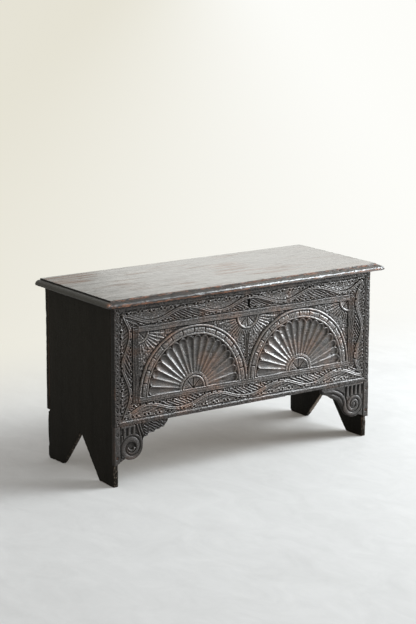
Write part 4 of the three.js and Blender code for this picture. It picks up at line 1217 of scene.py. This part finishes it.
def straightCut(places):
    # the cut is sawn straight down to the floor
    first, middle, last = (np.array(place) for place in footCut["plainCurve"])
    share = np.linspace(0, 1, 20)[:, None]
    curve = (1 - share) ** 2 * first + 2 * share * (1 - share) * middle + share ** 2 * last
    across, curve = curve.T
    height, top = places[:, 2], footCut["height"]
    old = np.interp(height, [*curve[::-1], top], [*across[::-1], footCut["plainApex"]])
    new = np.interp(height, [0, top], [footCut["floor"], footCut["apex"]])
    keep = np.clip((footCut["heel"] - places[:, 1]) / (footCut["heel"] - old), 0, 1)
    keep = keep * (places[:, 1] > old - 6) * fade(top, top + 14, height)
    places[:, 1] += (new - old) * keep


def wearBoard(node, name, finish, slot, pale, dented):
    # a closely meshed copy, dented and rounded inwards only
    piece = bpy.data.objects.new(name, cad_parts[node].data.copy())
    bpy.context.scene.collection.objects.link(piece)
    coat = piece.modifiers.new("remesh", "REMESH")
    coat.mode = "VOXEL"
    coat.voxel_size = boardWear["voxel"] * mm
    graph = bpy.context.evaluated_depsgraph_get()
    mesh = bpy.data.meshes.new_from_object(piece.evaluated_get(graph))
    piece.modifiers.clear()
    piece.data = mesh
    low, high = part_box(node)
    count = len(mesh.vertices)
    places, normals = np.empty(count * 3), np.empty(count * 3)
    mesh.vertices.foreach_get("co", places)
    mesh.vertices.foreach_get("normal", normals)
    places, normals = places.reshape(-1, 3) / mm, normals.reshape(-1, 3)
    away = np.sort(np.minimum(places - np.array(low) / mm, np.array(high) / mm - places), 1)
    edge = fade(*boardWear["arris"], away[:, 1])
    around = places[:, 0] + places[:, 1]
    dents = hills(around, places[:, 2], boardWear["dentSize"], 97)
    dents = boardWear["thinning"] + boardWear["dentDepth"] * dents
    knocks = np.clip(hills(around, places[:, 2], boardWear["knockSize"], 98), 0, 1)
    dents += edge * knocks * boardWear["knockDepth"]
    places -= normals * np.maximum(dents * dented, 0)[:, None]
    if finish == "end":
        straightCut(places)
    if finish == "back":
        # the worn, wavy ends of the back board
        near = fade(0, boardWear["waveReach"], halfCase - np.abs(places[:, 0]))
        behind = smooth(*boardWear["waveStart"], places[:, 1])
        wave = boardWear["waveMean"] + 2.4 * ripple(places[:, 2], 38, 99)
        wave += 1.2 * ripple(places[:, 2], 12, 100)
        places[:, 1] -= np.clip(wave, 0, boardWear["waveMost"]) * near * behind
    mesh.vertices.foreach_set("co", (places * mm).reshape(-1))
    # ends that face forwards, and most of all the undersides of the cut between the feet
    under = smooth(0.1, 0.3, -normals[:, 2])
    sawn = smooth(0.4, 0.8, -normals[:, 1]) * (0.26 + 0.74 * pale * under)
    # the faces that look into the chest, above the floor board
    into = {"left_end_board": normals[:, 0], "right_end_board": -normals[:, 0],
            "back_board": -normals[:, 1]}
    raw = smooth(0.6, 0.9, into[node]) * smooth(*boardWear["insideStart"], places[:, 2])
    finishMesh(mesh, {"crest": edge, "sawn": sawn, "raw": raw})
    settle(piece, finishes[finish], "case", [node])
    sharpen(piece, boardWear["crisp"])


for node, settings in boards.items():
    wearBoard(node, *settings)
print("stage: end boards and back board")

# the pieces whose shape is kept get their finish

kept = {"iron": ("nail", "strap", "hinge_pin", "lock", "staple"), "inner": ("floor_board", "till")}
for name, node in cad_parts.items():
    for finish, words in kept.items():
        if any(word in name for word in words):
            node.data.materials.clear()
            node.data.materials.append(finishes[finish])
print("stage: kept pieces")
